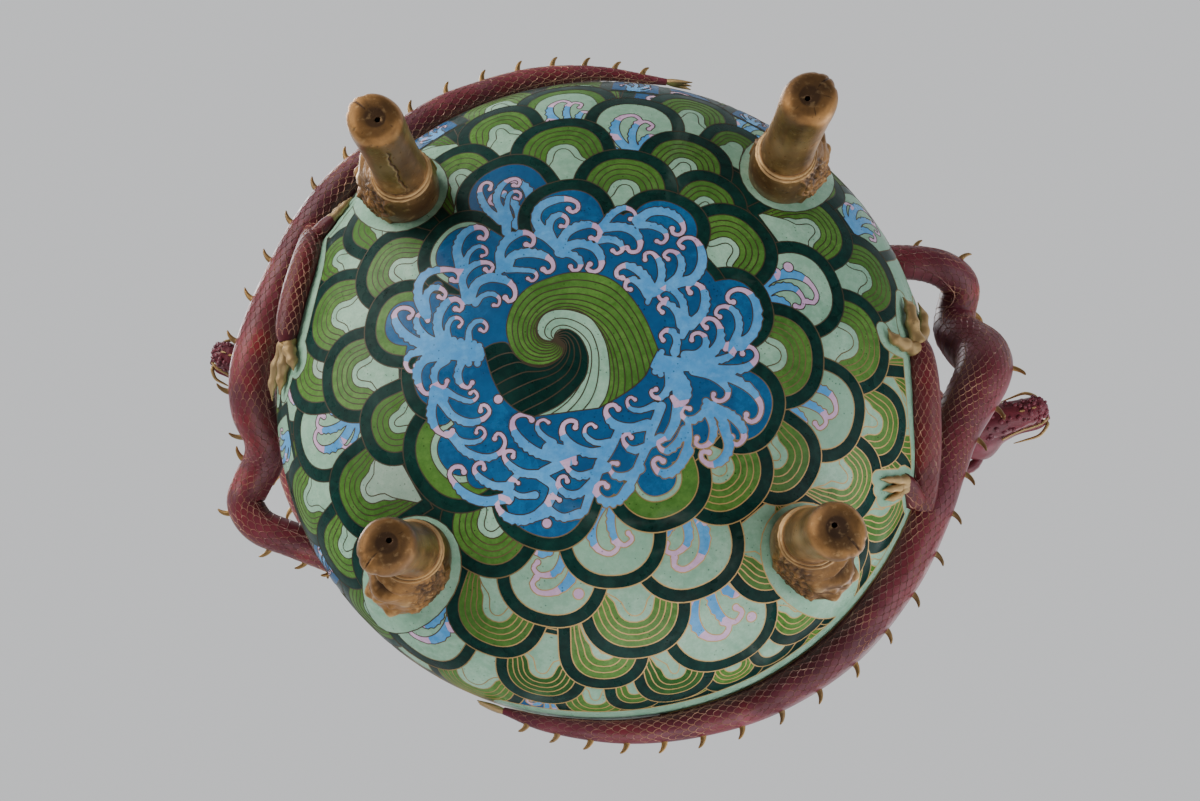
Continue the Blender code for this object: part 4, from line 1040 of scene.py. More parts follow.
def build_chart():
    _cells[0] = 5
    for item in hidden_rows():
        scale_cell(*item[:4], true_scale=True)
    for item in sorted(SCALES, key=lambda i: -i[1]):
        scale_cell(item[0], item[1], item[2], item[3],
                   dot=item[4] if len(item) > 4 else None)
    medallion()
    for angle in LEG_ANGLES.values():
        SHAPES.append((np.asarray(plan_patch(angle, 165.0, 28.5, 31.0, 33.0)), 1, CELADON, 0.3, None))
    for stations, margin in ((RIGHT_BODY, 8), (LEFT_BODY, 8), (RIGHT_LIMBS[0], 6),
                             (RIGHT_LIMBS[1], 6), (LEFT_LIMBS[0], 6), (LEFT_LIMBS[1], 6)):
        path_patch(stations, margin)
    for claw in RIGHT_CLAWS + LEFT_CLAWS:
        path_patch(claw, 4.5)
    # two plain rings at the foot of the neck, and the neck above them
    n = 120
    def ring(s0, s1, colour, cell, tint=0.3):
        for i in range(n):
            a, b = TAU * i / n, TAU * (i + 1) / n
            paint([(s0 * math.cos(a), s0 * math.sin(a)), (s1 * math.cos(a), s1 * math.sin(a)),
                   (s1 * math.cos(b), s1 * math.sin(b)), (s0 * math.cos(b), s0 * math.sin(b))],
                  colour, cell, tint)
    ring(S_NECK - 4, S_NECK + 1, CELADON, 2)
    ring(S_NECK + 1, S_TOP + 2, DEEP, 3)
    for k in range(18):
        scale_cell(360.0 * (k + 0.5) / 18, S_NECK + 33, 18, "R" if k % 3 else "P", true_scale=True)
    ring(S_TOP - 8, S_TOP - 3.5, CELADON, 2)
    ring(S_TOP - 3.5, S_TOP + 2, DARK, 4)
    ring(S_NECK - 4, S_NECK + 1, CELADON, 2)


def chart_edges():
    """Edges between two different cells, cut into short pieces."""
    starts, ends = [], []
    for poly, *_ in SHAPES:
        a = poly
        b = np.roll(poly, -1, axis=0)
        for p, q in zip(a, b):
            d = math.dist(p, q)
            k = max(1, int(math.ceil(d / 3.2)))
            for i in range(k):
                starts.append(p + (q - p) * (i / k))
                ends.append(p + (q - p) * ((i + 1) / k))
    starts, ends = np.array(starts), np.array(ends)
    length = np.linalg.norm(ends - starts, axis=1)
    ok = length > 0.02
    starts, ends, length = starts[ok], ends[ok], length[ok]
    # the same short edge may belong to two neighbours
    key = np.round(np.concatenate([np.minimum(starts, ends), np.maximum(starts, ends)], 1), 2)
    mid = np.round((starts + ends) / 2, 2)
    _, first = np.unique(np.concatenate([key, mid], 1), axis=0, return_index=True)
    starts, ends, length = starts[first], ends[first], length[first]
    tang = (ends - starts) / length[:, None]
    perp = np.stack([-tang[:, 1], tang[:, 0]], 1)
    keep = np.zeros(len(starts), bool)
    probes = []
    for f in (0.04, 0.5, 0.96):
        m = starts + (ends - starts) * f
        probes.append(m + perp * 0.06)
        probes.append(m - perp * 0.06)
    cells, _, _ = label(np.concatenate(probes))
    cells = cells.reshape(6, -1)
    for k in (0, 2, 4):
        keep |= cells[k] != cells[k + 1]
    radius = np.maximum(np.linalg.norm(starts, axis=1), np.linalg.norm(ends, axis=1))
    keep &= radius < S_TOP - 0.3
    return starts[keep], ends[keep]


def build_bowl_enamel():
    build_chart()
    starts, ends = chart_edges()
    pts = []
    index = {}
    edges = []

    def put(p):
        key = (round(float(p[0]), 2), round(float(p[1]), 2))
        if key not in index:
            index[key] = len(pts)
            pts.append(key)
        return index[key]

    for p, q in zip(starts, ends):
        a, b = put(p), put(q)
        if a != b:
            edges.append((a, b))
    n_edge = len(pts)
    used = {}
    for x, y in pts:
        used.setdefault((int(x // 2.4), int(y // 2.4)), 1)
    # inner points, so that the mesh follows the round of the bowl
    rings = int(S_TOP / 4.4)
    for i in range(1, rings):
        s = S_TOP * i / rings
        r_true = radius_at(s)
        count = max(6, int(TAU * r_true / 5.4))
        for k in range(count):
            a = TAU * (k + 0.5 * (i % 2)) / count
            x, y = s * math.cos(a), s * math.sin(a)
            cx, cy = int(x // 2.4), int(y // 2.4)
            if (cx, cy) in used:
                continue
            pts.append((x, y))
    rim_n = 240
    first = len(pts)
    for k in range(rim_n):
        a = TAU * k / rim_n
        pts.append((S_TOP * math.cos(a), S_TOP * math.sin(a)))
        edges.append((first + k, first + (k + 1) % rim_n))
    out = geometry.delaunay_2d_cdt([Vector(p) for p in pts], edges, [], 0, 1e-4, False)
    v2 = np.array([tuple(v) for v in out[0]])
    tris = [f for f in out[2] if len(f) == 3]
    tris = np.array(tris)
    cen = v2[tris].mean(1)
    cell, colour, tint = label(cen)
    pos, nor = lift(v2, 0.0)
    mesh = bpy.data.meshes.new("bowl_enamel")
    # the chart is seen from outside, so the order of the corners is turned
    a, b, c = v2[tris[:, 0]], v2[tris[:, 1]], v2[tris[:, 2]]
    area = (b[:, 0] - a[:, 0]) * (c[:, 1] - a[:, 1]) - (b[:, 1] - a[:, 1]) * (c[:, 0] - a[:, 0])
    good = np.abs(area) > 1e-6
    tris, cell, colour, tint, area = tris[good], cell[good], colour[good], tint[good], area[good]
    flip = area > 0
    tris[flip] = tris[flip][:, ::-1]
    mesh.from_pydata([tuple(p) for p in pos], [], [tuple(int(i) for i in t) for t in tris])
    mesh.polygons.foreach_set("material_index", colour.astype(np.int32))
    layer = mesh.attributes.new("tint", "FLOAT", "FACE")
    layer.data.foreach_set("value", tint.astype(np.float32))
    mesh.update()
    mesh.shade_smooth()
    mesh.normals_split_custom_set_from_vertices([tuple(n) for n in nor])
    obj = add_object("bowl_enamel", mesh, ENAMELS, "bowl")
    build_wires(v2, tris, cell)
    return obj


WIRE_HALF = 0.42
WIRE_HIGH = 0.24


def build_wires(v2, tris, cell):
    """A low ridge of metal along every line between two cells."""
    e = np.concatenate([tris[:, [0, 1]], tris[:, [1, 2]], tris[:, [2, 0]]])
    f = np.tile(np.arange(len(tris)), 3)
    lo, hi = e.min(1), e.max(1)
    order = np.lexsort((hi, lo))
    lo, hi, f = lo[order], hi[order], f[order]
    same = (lo[1:] == lo[:-1]) & (hi[1:] == hi[:-1])
    i = np.nonzero(same)[0]
    border = cell[f[i]] != cell[f[i + 1]]
    i = i[border]
    A, B = lo[i], hi[i]
    near = {}
    for k, (a, b) in enumerate(zip(A, B)):
        near.setdefault(int(a), []).append(int(b))
        near.setdefault(int(b), []).append(int(a))
    verts, faces = [], []

    def offset(p, q, at, other):
        """Across direction at one end of the edge p-q."""
        d = v2[q] - v2[p]
        d = d / max(np.linalg.norm(d), 1e-9)
        nb = near[at]
        if len(nb) == 2:
            o = nb[0] if nb[1] == other else nb[1]
            g = (v2[at] - v2[o]) if at == p else (v2[o] - v2[at])
            ln = np.linalg.norm(g)
            if ln > 1e-6:
                g = g / ln
                t = d + g
                if np.linalg.norm(t) > 0.6:
                    t /= np.linalg.norm(t)
                    d = t / max(0.7, float(np.dot(t, d)))
        return np.array([-d[1], d[0]])

    flat, lifted = [], []
    for a, b in zip(A, B):
        a, b = int(a), int(b)
        oa, ob = offset(a, b, a, b), offset(a, b, b, a)
        pa, pb = v2[a], v2[b]
        # the chart is stretched round the shoulder, so wires narrow with it
        base = len(flat)
        for p, o in ((pa, oa), (pb, ob)):
            s = max(np.hypot(*p), 1.0)
            k = s / max(radius_at(s), 1.0)
            e_r = p / s
            o2 = e_r * np.dot(o, e_r) + (o - e_r * np.dot(o, e_r)) * k
            flat.append(p + o2 * WIRE_HALF)
            lifted.append(-0.05)
            flat.append(p)
            lifted.append(WIRE_HIGH)
            flat.append(p - o2 * WIRE_HALF)
            lifted.append(-0.05)
        faces.append((base, base + 3, base + 4, base + 1))
        faces.append((base + 1, base + 4, base + 5, base + 2))
    flat = np.array(flat)
    pos, nor = lift(flat, np.array(lifted))
    mesh = bpy.data.meshes.new("bowl_wires")
    mesh.from_pydata([tuple(p) for p in pos], [], faces)
    mesh.update()
    mesh.shade_smooth()
    mesh.normals_split_custom_set_from_vertices([tuple(n) for n in nor])
    obj = add_object("bowl_wires", mesh, [WIRE])
    print("enamel triangles", len(tris), "wire triangles", len(faces) * 2)
    return obj


# ------------------------------------------------- inside, lip and rim
def build_shell():
    def inner_point(s_index):
        r, z = PROFILE[s_index, 1], PROFILE[s_index, 2]
        nr, nz = _dz[s_index], -_dr[s_index]
        ln = math.hypot(nr, nz)
        return max(0.0, r - WALL * nr / ln), z - WALL * nz / ln

    inner = [inner_point(i) for i in np.linspace(0, len(PROFILE) - 1, 90).astype(int)]
    inner[0] = (0.0, inner[0][1])
    lip_in = inner[-1][0]
    rim = [(lip_in, RIM_Z - 2.2), (lip_in + 0.5, RIM_Z - 0.8), (lip_in + 1.6, RIM_Z),
           (lip_in + 7.0, RIM_Z + 0.0), (RIM_R - 6.0, RIM_Z), (RIM_R - 3.2, RIM_Z + 0.0),
           (RIM_R - 1.2, RIM_Z - 0.5), (RIM_R - 0.1, RIM_Z - 1.8), (RIM_R, RIM_Z - 3.6),
           (RIM_R - 0.4, RIM_Z - 5.4), (RIM_R - 1.8, RIM_Z - 6.7), (RIM_R - 4.0, RIM_Z - 7.0),
           (RIM_R - 9.0, RIM_Z - 7.0), (158.6, RIM_Z - 7.4), (157.6, RIM_Z - 8.4),
           (156.9, RIM_Z - 9.2)]
    profile = inner + rim
    steps = 192
    verts, faces, mats = [], [], []
    n = len(profile)
    for k in range(steps):
        a = TAU * k / steps
        for r, z in profile:
            verts.append((r * math.cos(a) * MM + AXIS.x, r * math.sin(a) * MM, z * MM))
    for k in range(steps):
        j = (k + 1) % steps
        for i in range(n - 1):
            if i == 0:
                faces.append((k * n, j * n + 1, k * n + 1))
            else:
                faces.append((k * n + i, j * n + i, j * n + i + 1, k * n + i + 1))
            mats.append(0 if i < len(inner) - 4 else 1)
    mesh = bpy.data.meshes.new("bowl_lining")
    mesh.from_pydata(verts, [], faces)
    mesh.polygons.foreach_set("material_index", mats)
    mesh.update()
    bm = bmesh.new()
    bm.from_mesh(mesh)
    bmesh.ops.remove_doubles(bm, verts=bm.verts, dist=1e-6)
    bmesh.ops.recalc_face_normals(bm, faces=bm.faces)
    # the lining faces the hollow
    bm.faces.ensure_lookup_table()
    low = min(bm.faces, key=lambda f: f.calc_center_median().z)
    if low.normal.z < 0:
        bmesh.ops.reverse_faces(bm, faces=bm.faces)
    bm.to_mesh(mesh)
    bm.free()
    smooth(mesh, 60)
    return add_object("bowl_lining", mesh, [INSIDE, RIM_GILT])


# ------------------------------------------------------------------- legs
LEG_LEVELS = [
    (0.0, 173.2, 7.6, 7.0, 8.6), (0.5, 173.0, 10.4, 9.6, 11.8), (1.6, 172.8, 12.8, 12.0, 14.8),
    (3.4, 172.6, 14.4, 13.8, 16.8), (6.5, 172.5, 15.6, 15.4, 18.2), (13.0, 172.0, 15.9, 16.2, 17.8),
    (21.0, 170.5, 15.6, 16.1, 16.4), (34.0, 167.5, 15.3, 15.8, 15.0), (48.0, 164.0, 15.2, 15.6, 14.4),
    (60.0, 161.0, 15.6, 15.6, 15.0), (66.0, 159.9, 16.0, 15.9, 16.2), (71.0, 159.0, 17.8, 17.4, 19.6),
    (80.0, 159.0, 19.8, 19.8, 26.0), (92.0, 160.5, 20.8, 22.2, 29.0), (104.0, 163.0, 20.8, 23.3, 29.3),
    (118.0, 166.0, 19.4, 22.0, 25.5), (132.0, 168.0, 15.0, 16.0, 18.0)]


def level(z):
    zs = [l[0] for l in LEG_LEVELS]
    i = max(0, min(len(zs) - 2, int(np.searchsorted(zs, z, side="right")) - 1))
    rows = [LEG_LEVELS[max(0, i - 1)], LEG_LEVELS[i], LEG_LEVELS[i + 1],
            LEG_LEVELS[min(len(zs) - 1, i + 2)]]
    t = (z - rows[1][0]) / (rows[2][0] - rows[1][0])
    out = []
    for c in range(1, 5):
        p0, p1, p2, p3 = (r[c] for r in rows)
        h = rows[2][0] - rows[1][0]
        m1 = (p2 - p0) / max(rows[2][0] - rows[0][0], 1e-6) * h
        m2 = (p3 - p1) / max(rows[3][0] - rows[1][0], 1e-6) * h
        out.append((2 * t ** 3 - 3 * t ** 2 + 1) * p1 + (t ** 3 - 2 * t ** 2 + t) * m1
                   + (-2 * t ** 3 + 3 * t ** 2) * p2 + (t ** 3 - t ** 2) * m2)
    return out


def bumpg(x, c, w):
    return math.exp(-((x - c) / w) ** 2)


def leg_point(a, z, seed):
    """Place (along the outward line, across, up) in mm and how bright it is."""
    mid, hw, din, dout = level(z)
    ca, sa = math.cos(a), math.sin(a)
    x, y = (dout if ca > 0 else din) * ca, hw * sa
    A = abs(a)
    side = 1 if a >= 0 else -1
    out, wear = 0.0, 0.54
    # a rounded paw: shallow lines between the toes and one small notch at its tip
    if z < 30 and ca > 0.05:
        for c in (0.42, -0.42):
            g = bumpg(a, c, 0.10) * bumpg(z, 10.0, 8.0)
            out -= 0.75 * g
            wear -= 0.22 * g
        g = bumpg(a, 0.0, 0.05) * bumpg(z, 3.0, 3.6)
        out -= 1.6 * g
        wear -= 0.6 * g
        g = bumpg(a, 0.0, 0.30) * bumpg(z, 8.0, 5.0)
        out += 0.6 * g
        wear += 0.15 * g
    # purplish bare metal round the middle of the sole
    wear += 0.14 * bumpg(z, 34.0, 22.0) - 0.30 * bumpg(z, 0.0, 1.5)
    # shank: a soft ridge down its outward side
    out += 0.8 * bumpg(a, 0.0, 0.35) * bumpg(z, 42.0, 18.0)
    # the double line where the shank ends
    for c in (66.6, 69.3):
        shift = 1.6 * math.cos(a)
        inner = 0.35 + 0.65 / (1.0 + math.exp((math.cos(a) - 0.15) * 7.0))
        g = bumpg(z, c + shift, 0.50) * inner
        out += 1.30 * g
        wear += 0.65 * g
    for c, depth in ((67.95, 0.7), (65.0, 0.55)):
        g = bumpg(z, c + 1.6 * math.cos(a), 0.55)
        wear -= depth * g
        out -= 0.55 * g
    # mane and mask on the outward side, smooth collar towards the bowl's axis
    edge = 1.85 - 0.10 * math.sin(z * 0.35)
    if z > 70.5:
        m = min(1.0, max(0.0, (edge - A) / 0.16)) * min(1.0, (z - 70.5) / 3.0)
        rim = bumpg(A, edge, 0.07) * min(1.0, (z - 70.5) / 3.0)
        out += 1.5 * rim
        wear += 0.3 * rim
        if m > 0:
            n = noise.voronoi(Vector((a * 6.2, z * 0.33, seed)))[0][0]
            lump = (0.55 - n) * 2.4
            fine = noise.noise(Vector((a * 26, z * 1.3, seed + 7))) * 0.5
            face = 1.0 - min(1.0, max(0.0, (A - 0.75) / 0.2))
            mane = m * (1 - 0.8 * face)
            # raised grains in the mane; raising their wear paints their tops pale, partly rubbed metal and partly a
            # painted glint
            grain_glint = max(0.0, noise.noise(Vector((a * 44, z * 2.4, seed + 19))) - 0.30)
            out += mane * (lump + 1.3 * fine + 0.8 * grain_glint)
            wear += mane * (lump * 0.22 - 0.40 + 1.6 * grain_glint)
            # face: muzzle, nose, brows, cheeks, eyes and an open mouth
            muzzle = 5.0 * bumpg(a, 0, 0.46) * bumpg(z, 84, 7.0)
            nose = 2.6 * bumpg(a, 0, 0.20) * bumpg(z, 91.5, 3.0)
            nostril = -1.5 * bumpg(A, 0.13, 0.06) * bumpg(z, 89.0, 1.5)
            mouth = -3.2 * bumpg(a, 0, 0.42) * bumpg(z, 79.0 + 3.0 * A, 1.5)
            brow = 3.8 * bumpg(A, 0.42, 0.20) * bumpg(z, 104 + 4 * A, 2.8)
            eye = 2.6 * bumpg(A, 0.40, 0.115) * bumpg(z, 98.5, 2.5)
            socket = -1.5 * bumpg(A, 0.40, 0.24) * bumpg(z, 98.5, 4.6)
            cheek = 2.6 * bumpg(A, 0.78, 0.22) * bumpg(z, 90, 6.0)
            ear = 3.0 * bumpg(A, 0.98, 0.14) * bumpg(z, 107, 4.0)
            bridge = 2.0 * bumpg(a, 0, 0.13) * bumpg(z, 98, 6.0)
            teeth = 0.9 * max(0.0, math.sin(a * 34)) * bumpg(a, 0, 0.4) * bumpg(z, 80.6 + 3.0 * A, 0.8)
            f = muzzle + nose + nostril + mouth + brow + eye + socket + cheek + ear + bridge + teeth
            out += f * min(1.0, (z - 70.5) / 3.0)
            wear += 0.10 * (nose + brow + eye + cheek + ear) + 0.16 * (mouth + nostril + socket)
            # curls of the mane beside the face
            for cx, cz, cr in ((1.22, 80, 5.0), (1.36, 92, 5.0), (1.22, 104, 5.2), (1.62, 86, 4.4),
                               (1.62, 99, 4.6)):
                dx, dz = (A - cx) * 19.0, z - cz
                rr = math.hypot(dx, dz)
                if rr < cr * 1.2:
                    sp = math.cos(rr * 2.1 - math.atan2(dz, dx) * 1.0)
                    fall = 1 - rr / (cr * 1.2)
                    out += m * (1.3 * sp * fall + 1.2 * fall)
                    wear += m * 0.30 * sp * fall
        if A >= edge - 0.1:
            wear -= 0.28 * min(1.0, (z - 70.5) / 4.0)
    cast = noise.noise(Vector((math.cos(a) * 1.4, math.sin(a) * 1.4 + seed * 3.1, z * 0.05)))
    out += cast * 0.35
    wear += cast * 0.16 + 0.05
    # pits of the casting
    p = noise.noise(Vector((math.cos(a) * 9, math.sin(a) * 9, z * 0.55 + seed * 11)))
    if p > 0.56:
        out -= (p - 0.56) * 1.6
        wear -= (p - 0.56) * 1.8
    if seed == 1 and 12 < z < 64:
        line = -2.62 + 0.05 * math.sin(z * 0.30) + 0.025 * math.sin(z * 0.95)
        g = bumpg(a, line, 0.026) * min(1.0, (z - 12) / 6.0, (64 - z) / 8.0)
        out -= 1.0 * g
        wear -= 0.75 * g
        # a raised lip beside the crack, painted paler as a highlight along its edge
        g = bumpg(a, line + 0.07, 0.035) * min(1.0, (z - 12) / 6.0, (64 - z) / 8.0)
        out += 0.35 * g
        wear += 0.3 * g
    return mid + x + out * ca, y + out * sa, wear


def bowl_side(r, z):
    """Negative inside the bowl's outside."""
    h = LOWER_H if z < BELLY_Z else UPPER_H
    return math.hypot(r / BODY_R, (z - BELLY_Z) / h) - 1.0


def build_leg(name, angle, seed):
    around = 168
    zs = ([0.0, 0.15, 0.35, 0.6, 0.95, 1.4, 1.9, 2.4] + [3.0 + 1.05 * k for k in range(58)]
          + [64.0 + 0.42 * k for k in range(20)] + [72.6 + 0.62 * k for k in range(90)])
    verts, wears, faces = [], [], []
    for z in zs:
        for k in range(around):
            a = TAU * k / around
            a = a if a <= math.pi else a - TAU
            x, y, w = leg_point(a, z, seed)
            verts.append(Vector((x, y, z)))
            wears.append(min(1.0, max(0.0, w)))
    n = around
    # tuck the top in where it meets the enamel
    for i, v in enumerate(verts):
        if v.z > 64:
            r = math.hypot(v.x, v.y)
            g = bowl_side(r, v.z)
            if g < 0.012 and v.z > 66:
                wears[i] = min(wears[i], 0.25 + 20 * max(0.0, g))
    for j in range(len(zs) - 1):
        for i in range(n):
            k = (i + 1) % n
            quad = (j * n + i, j * n + k, (j + 1) * n + k, (j + 1) * n + i)
            inside_all = all(bowl_side(math.hypot(verts[q].x, verts[q].y), verts[q].z) < -0.012
                             for q in quad)
            if not inside_all:
                faces.append(quad)
    # sole: rings in to a drilled hole with a raised dark edge
    hole = Vector((171.0, 0.0, 0.0))
    prev = list(range(n))
    sole = [verts[i].copy() for i in range(n)]
    for f, z, w in ((0.20, 0.0, 0.26), (0.45, 0.0, 0.06), (0.80, 0.0, 0.0)):
        row = []
        for i in range(n):
            target = hole + Vector((math.cos(TAU * i / n), math.sin(TAU * i / n), 0)) * 2.4
            p = sole[i].lerp(target, f)
            row.append(len(verts))
            verts.append(Vector((p.x, p.y, z)))
            wears.append(w)
        for i in range(n):
            k = (i + 1) % n
            faces.append((row[i], row[k], prev[k], prev[i]))
        prev = row
    for rad, z, w in ((2.4, 0.0, 0.02), (1.9, 0.12, 0.0), (1.6, 0.45, 0.0), (1.5, 8.0, 0.0), (1.2, 13.0, 0.0)):
        row = []
        for i in range(n):
            row.append(len(verts))
            verts.append(hole + Vector((rad * math.cos(TAU * i / n), rad * math.sin(TAU * i / n), z)))
            wears.append(w)
        for i in range(n):
            k = (i + 1) % n
            faces.append((row[i], row[k], prev[k], prev[i]))
        prev = row
    faces.append(tuple(reversed(prev)))
    turn = Matrix.Rotation(math.radians(angle), 3, "Z")
    mesh = bpy.data.meshes.new(name + "_cast")
    mesh.from_pydata([tuple(turn @ (v * MM) + AXIS) for v in verts], [], faces)
    layer = mesh.attributes.new("wear", "FLOAT", "POINT")
    layer.data.foreach_set("value", wears)
    mesh.update()
    bm = bmesh.new()
    bm.from_mesh(mesh)
    loose = [v for v in bm.verts if not v.link_faces]
    bmesh.ops.delete(bm, geom=loose, context="VERTS")
    bm.to_mesh(mesh)
    bm.free()
    smooth(mesh, 70)
    return add_object(name + "_cast", mesh, [BRONZE], name)


# ---------------------------------------------------------------- dragons
def polar(theta, r, z):
    a = math.radians(theta)
    return Vector((r * math.cos(a), r * math.sin(a), z))


def outward(p):
    return Vector((p.x, p.y, (p.z - BELLY_Z) * 0.9)).normalized()


def sweep_frames(pts, hint=outward):
    out = []
    for i, p in enumerate(pts):
        a, b = pts[max(i - 1, 0)], pts[min(i + 1, len(pts) - 1)]
        t = (b - a).normalized()
        h = hint(p)
        n = (h - t * h.dot(t)).normalized()
        out.append((t, n, t.cross(n)))
    return out


def walk(stations, step):
    """Evenly spaced points and widths along a smooth line."""
    rows = np.array(catmull([(*polar(t, r, z), w) for t, r, z, w in stations], 16))
    run = np.concatenate([[0], np.cumsum(np.linalg.norm(np.diff(rows[:, :3], axis=0), axis=1))])
    n = max(4, int(run[-1] / step))
    ts = np.linspace(0, run[-1], n + 1)
    cols = [np.interp(ts, run, rows[:, c]) for c in range(4)]
    return [Vector((cols[0][i], cols[1][i], cols[2][i])) for i in range(n + 1)], list(cols[3]), ts


def to_row(v):
    return (v.x * MM + AXIS.x, v.y * MM, v.z * MM)


class Body:
    def __init__(self, stations, step=1.8):
        self.pts, self.w, self.ts = walk(stations, step)
        self.fr = sweep_frames(self.pts)
        self.length = self.ts[-1]
        last = len(self.pts) - 1
        self.bend = []
        for i in range(last + 1):
            a, b = max(i - 3, 0), min(i + 3, last)
            way = sum((self.pts[j + 1] - self.pts[j]).length for j in range(a, b))
            self.bend.append((self.fr[b][0] - self.fr[a][0]) / max(way, 0.1))

    def press(self, bend, r, w):
        """How tightly the skin is pressed together on the inside of a bend; 1 is a fold."""
        return max(bend.dot(r), 0.0) * w

    def reach(self, bend, r, w):
        """The radius, held back where the skin would fold over itself."""
        x = self.press(bend, r, w)
        if x < 0.55:
            return w
        return w * (0.55 + 0.30 * (1 - math.exp(-(x - 0.55) / 0.30))) / x

    def tight(self, length, phi):
        _, r, w = self.at(length, phi)
        f = min(max(length / self.length, 0.0), 1.0) * (len(self.pts) - 1)
        return self.press(self.bend[int(round(f))], r, w) > 0.60

    def at(self, length, phi, grow=0.0):
        f = min(max(length / self.length, 0.0), 1.0) * (len(self.pts) - 1)
        i = min(int(f), len(self.pts) - 2)
        k = f - i
        p = self.pts[i].lerp(self.pts[i + 1], k)
        w = self.w[i] * (1 - k) + self.w[i + 1] * k
        n = self.fr[i][1].lerp(self.fr[i + 1][1], k).normalized()
        s = self.fr[i][2].lerp(self.fr[i + 1][2], k).normalized()
        r = n * math.cos(phi) + s * math.sin(phi)
        bend = self.bend[i].lerp(self.bend[i + 1], k)
        return p + r * (self.reach(bend, r, w) + grow), r, w


def free(p):
    """Outside the bowl."""
    if p.z > BELLY_Z + UPPER_H * math.sin(SHOULDER_END):
        return math.hypot(p.x, p.y) > NECK_R - 1
    return bowl_side(math.hypot(p.x, p.y), p.z) > -0.004


def add_wire(heap, pts, radials, half, high, mat=0):
    """A low ridge along points that lie on a surface."""
    rows = []
    for i, p in enumerate(pts):
        a, b = pts[max(i - 1, 0)], pts[min(i + 1, len(pts) - 1)]
        t = (b - a).normalized()
        side = t.cross(radials[i]).normalized()
        rows.append([to_row(p - side * half - radials[i] * 0.05), to_row(p + radials[i] * high),
                     to_row(p + side * half - radials[i] * 0.05)])
    heap.strip(rows, mat)


def scale_wires(heap, body, start, end, pitch, size, phi_from, phi_to, mat=0, n=8):
    """Rows of U-shaped cells, each row shifted by half a cell."""
    length, row = start, 0
    while length < end:
        _, _, w = body.at(length, 0.0)
        count = max(3, int(round((phi_to - phi_from) * w / size)))
        dphi = (phi_to - phi_from) / count
        for k in range(count + (row % 2)):
            c = phi_from + dphi * (k + (0.0 if row % 2 else 0.5))
            if body.tight(length, c) or body.tight(length - pitch, c):
                continue
            pts, rad = [], []
            for i in range(n + 1):
                t = -1 + 2 * i / n
                ph = c + t * dphi / 2
                ln = length - pitch * 1.02 * (1 - abs(t) ** 2.2) ** 0.62
                p, r, _ = body.at(ln, ph, 0.02)
                pts.append(p)
                rad.append(r)
            if all(free(p) for p in pts):
                add_wire(heap, pts, rad, 0.21, 0.20, mat)
        length += pitch
        row += 1


def skin(body, sides, shape=None, tip=True):
    """The rings of a body, with a slightly keeled back."""
    rings, wear = [], []
    for i, (p, w, (t, n, s)) in enumerate(zip(body.pts, body.w, body.fr)):
        ring = []
        for k in range(sides):
            a = TAU * k / sides
            keel = 0.05 * math.exp(-((min(a, TAU - a)) / 0.30) ** 2)
            r = n * math.cos(a) + s * math.sin(a)
            ring.append(to_row(p + r * body.reach(body.bend[i], r, w) * (1 + keel)))
            wear.append(0.5 + 0.5 * noise.noise(Vector((p.x * 0.06, p.y * 0.06, p.z * 0.06 + a))))
        rings.append(ring)
    return rings, wear


def claw_shape(heap, stations, mat, sides=14):
    pts, w, ts = walk(stations, 1.2)
    fr = sweep_frames(pts)
    rings = []
    last = len(pts) - 1
    for i, (p, ww, (t, n, s)) in enumerate(zip(pts, w, fr)):
        f = i / last
        knuckle = (0.84 + 0.34 * math.exp(-((f - 0.08) / 0.10) ** 2) + 0.32 * math.exp(-((f - 0.42) / 0.09) ** 2)
                   + 0.26 * math.exp(-((f - 0.72) / 0.07) ** 2))
        thin = 1.0 if f < 0.78 else 1.0 - 0.70 * (f - 0.78) / 0.22
        rings.append([to_row(p + (n * math.cos(TAU * k / sides) * 1.05
                                  + s * math.sin(TAU * k / sides)) * ww * knuckle * thin)
                      for k in range(sides)])
    heap.rings(rings, mat, True, 0.8)


def thorn(heap, p, n, t, length, mat):
    """A blunt hooked nail that leans back towards the tail."""
    s = t.cross(n)
    rings = []
    steps = 9
    for i in range(steps + 1):
        f = i / steps
        mid = p + n * (length * (f - 0.10) * (1 - 0.18 * f)) - t * (length * 0.44 * f ** 2.0)
        flare = 0.9 * math.exp(-(f / 0.10) ** 2)
        rx = 2.15 - 0.85 * f + flare
        ry = 1.70 - 0.60 * f + flare
        if f > 0.93:
            rx, ry = rx * 0.55, ry * 0.55
        rings.append([to_row(mid + t * rx * math.cos(TAU * k / 10) + s * ry * math.sin(TAU * k / 10))
                      for k in range(10)])
    heap.rings(rings, mat, True, 0.72)


def simple_tube(heap, pts, widths, mat, sides=8, hint=None, wear=0.8):
    fr = sweep_frames(pts, hint or outward)
    rings = [[to_row(p + (n * math.cos(TAU * k / sides) + s * math.sin(TAU * k / sides)) * w)
              for k in range(sides)] for p, w, (t, n, s) in zip(pts, widths, fr)]
    heap.rings(rings, mat, True, wear)


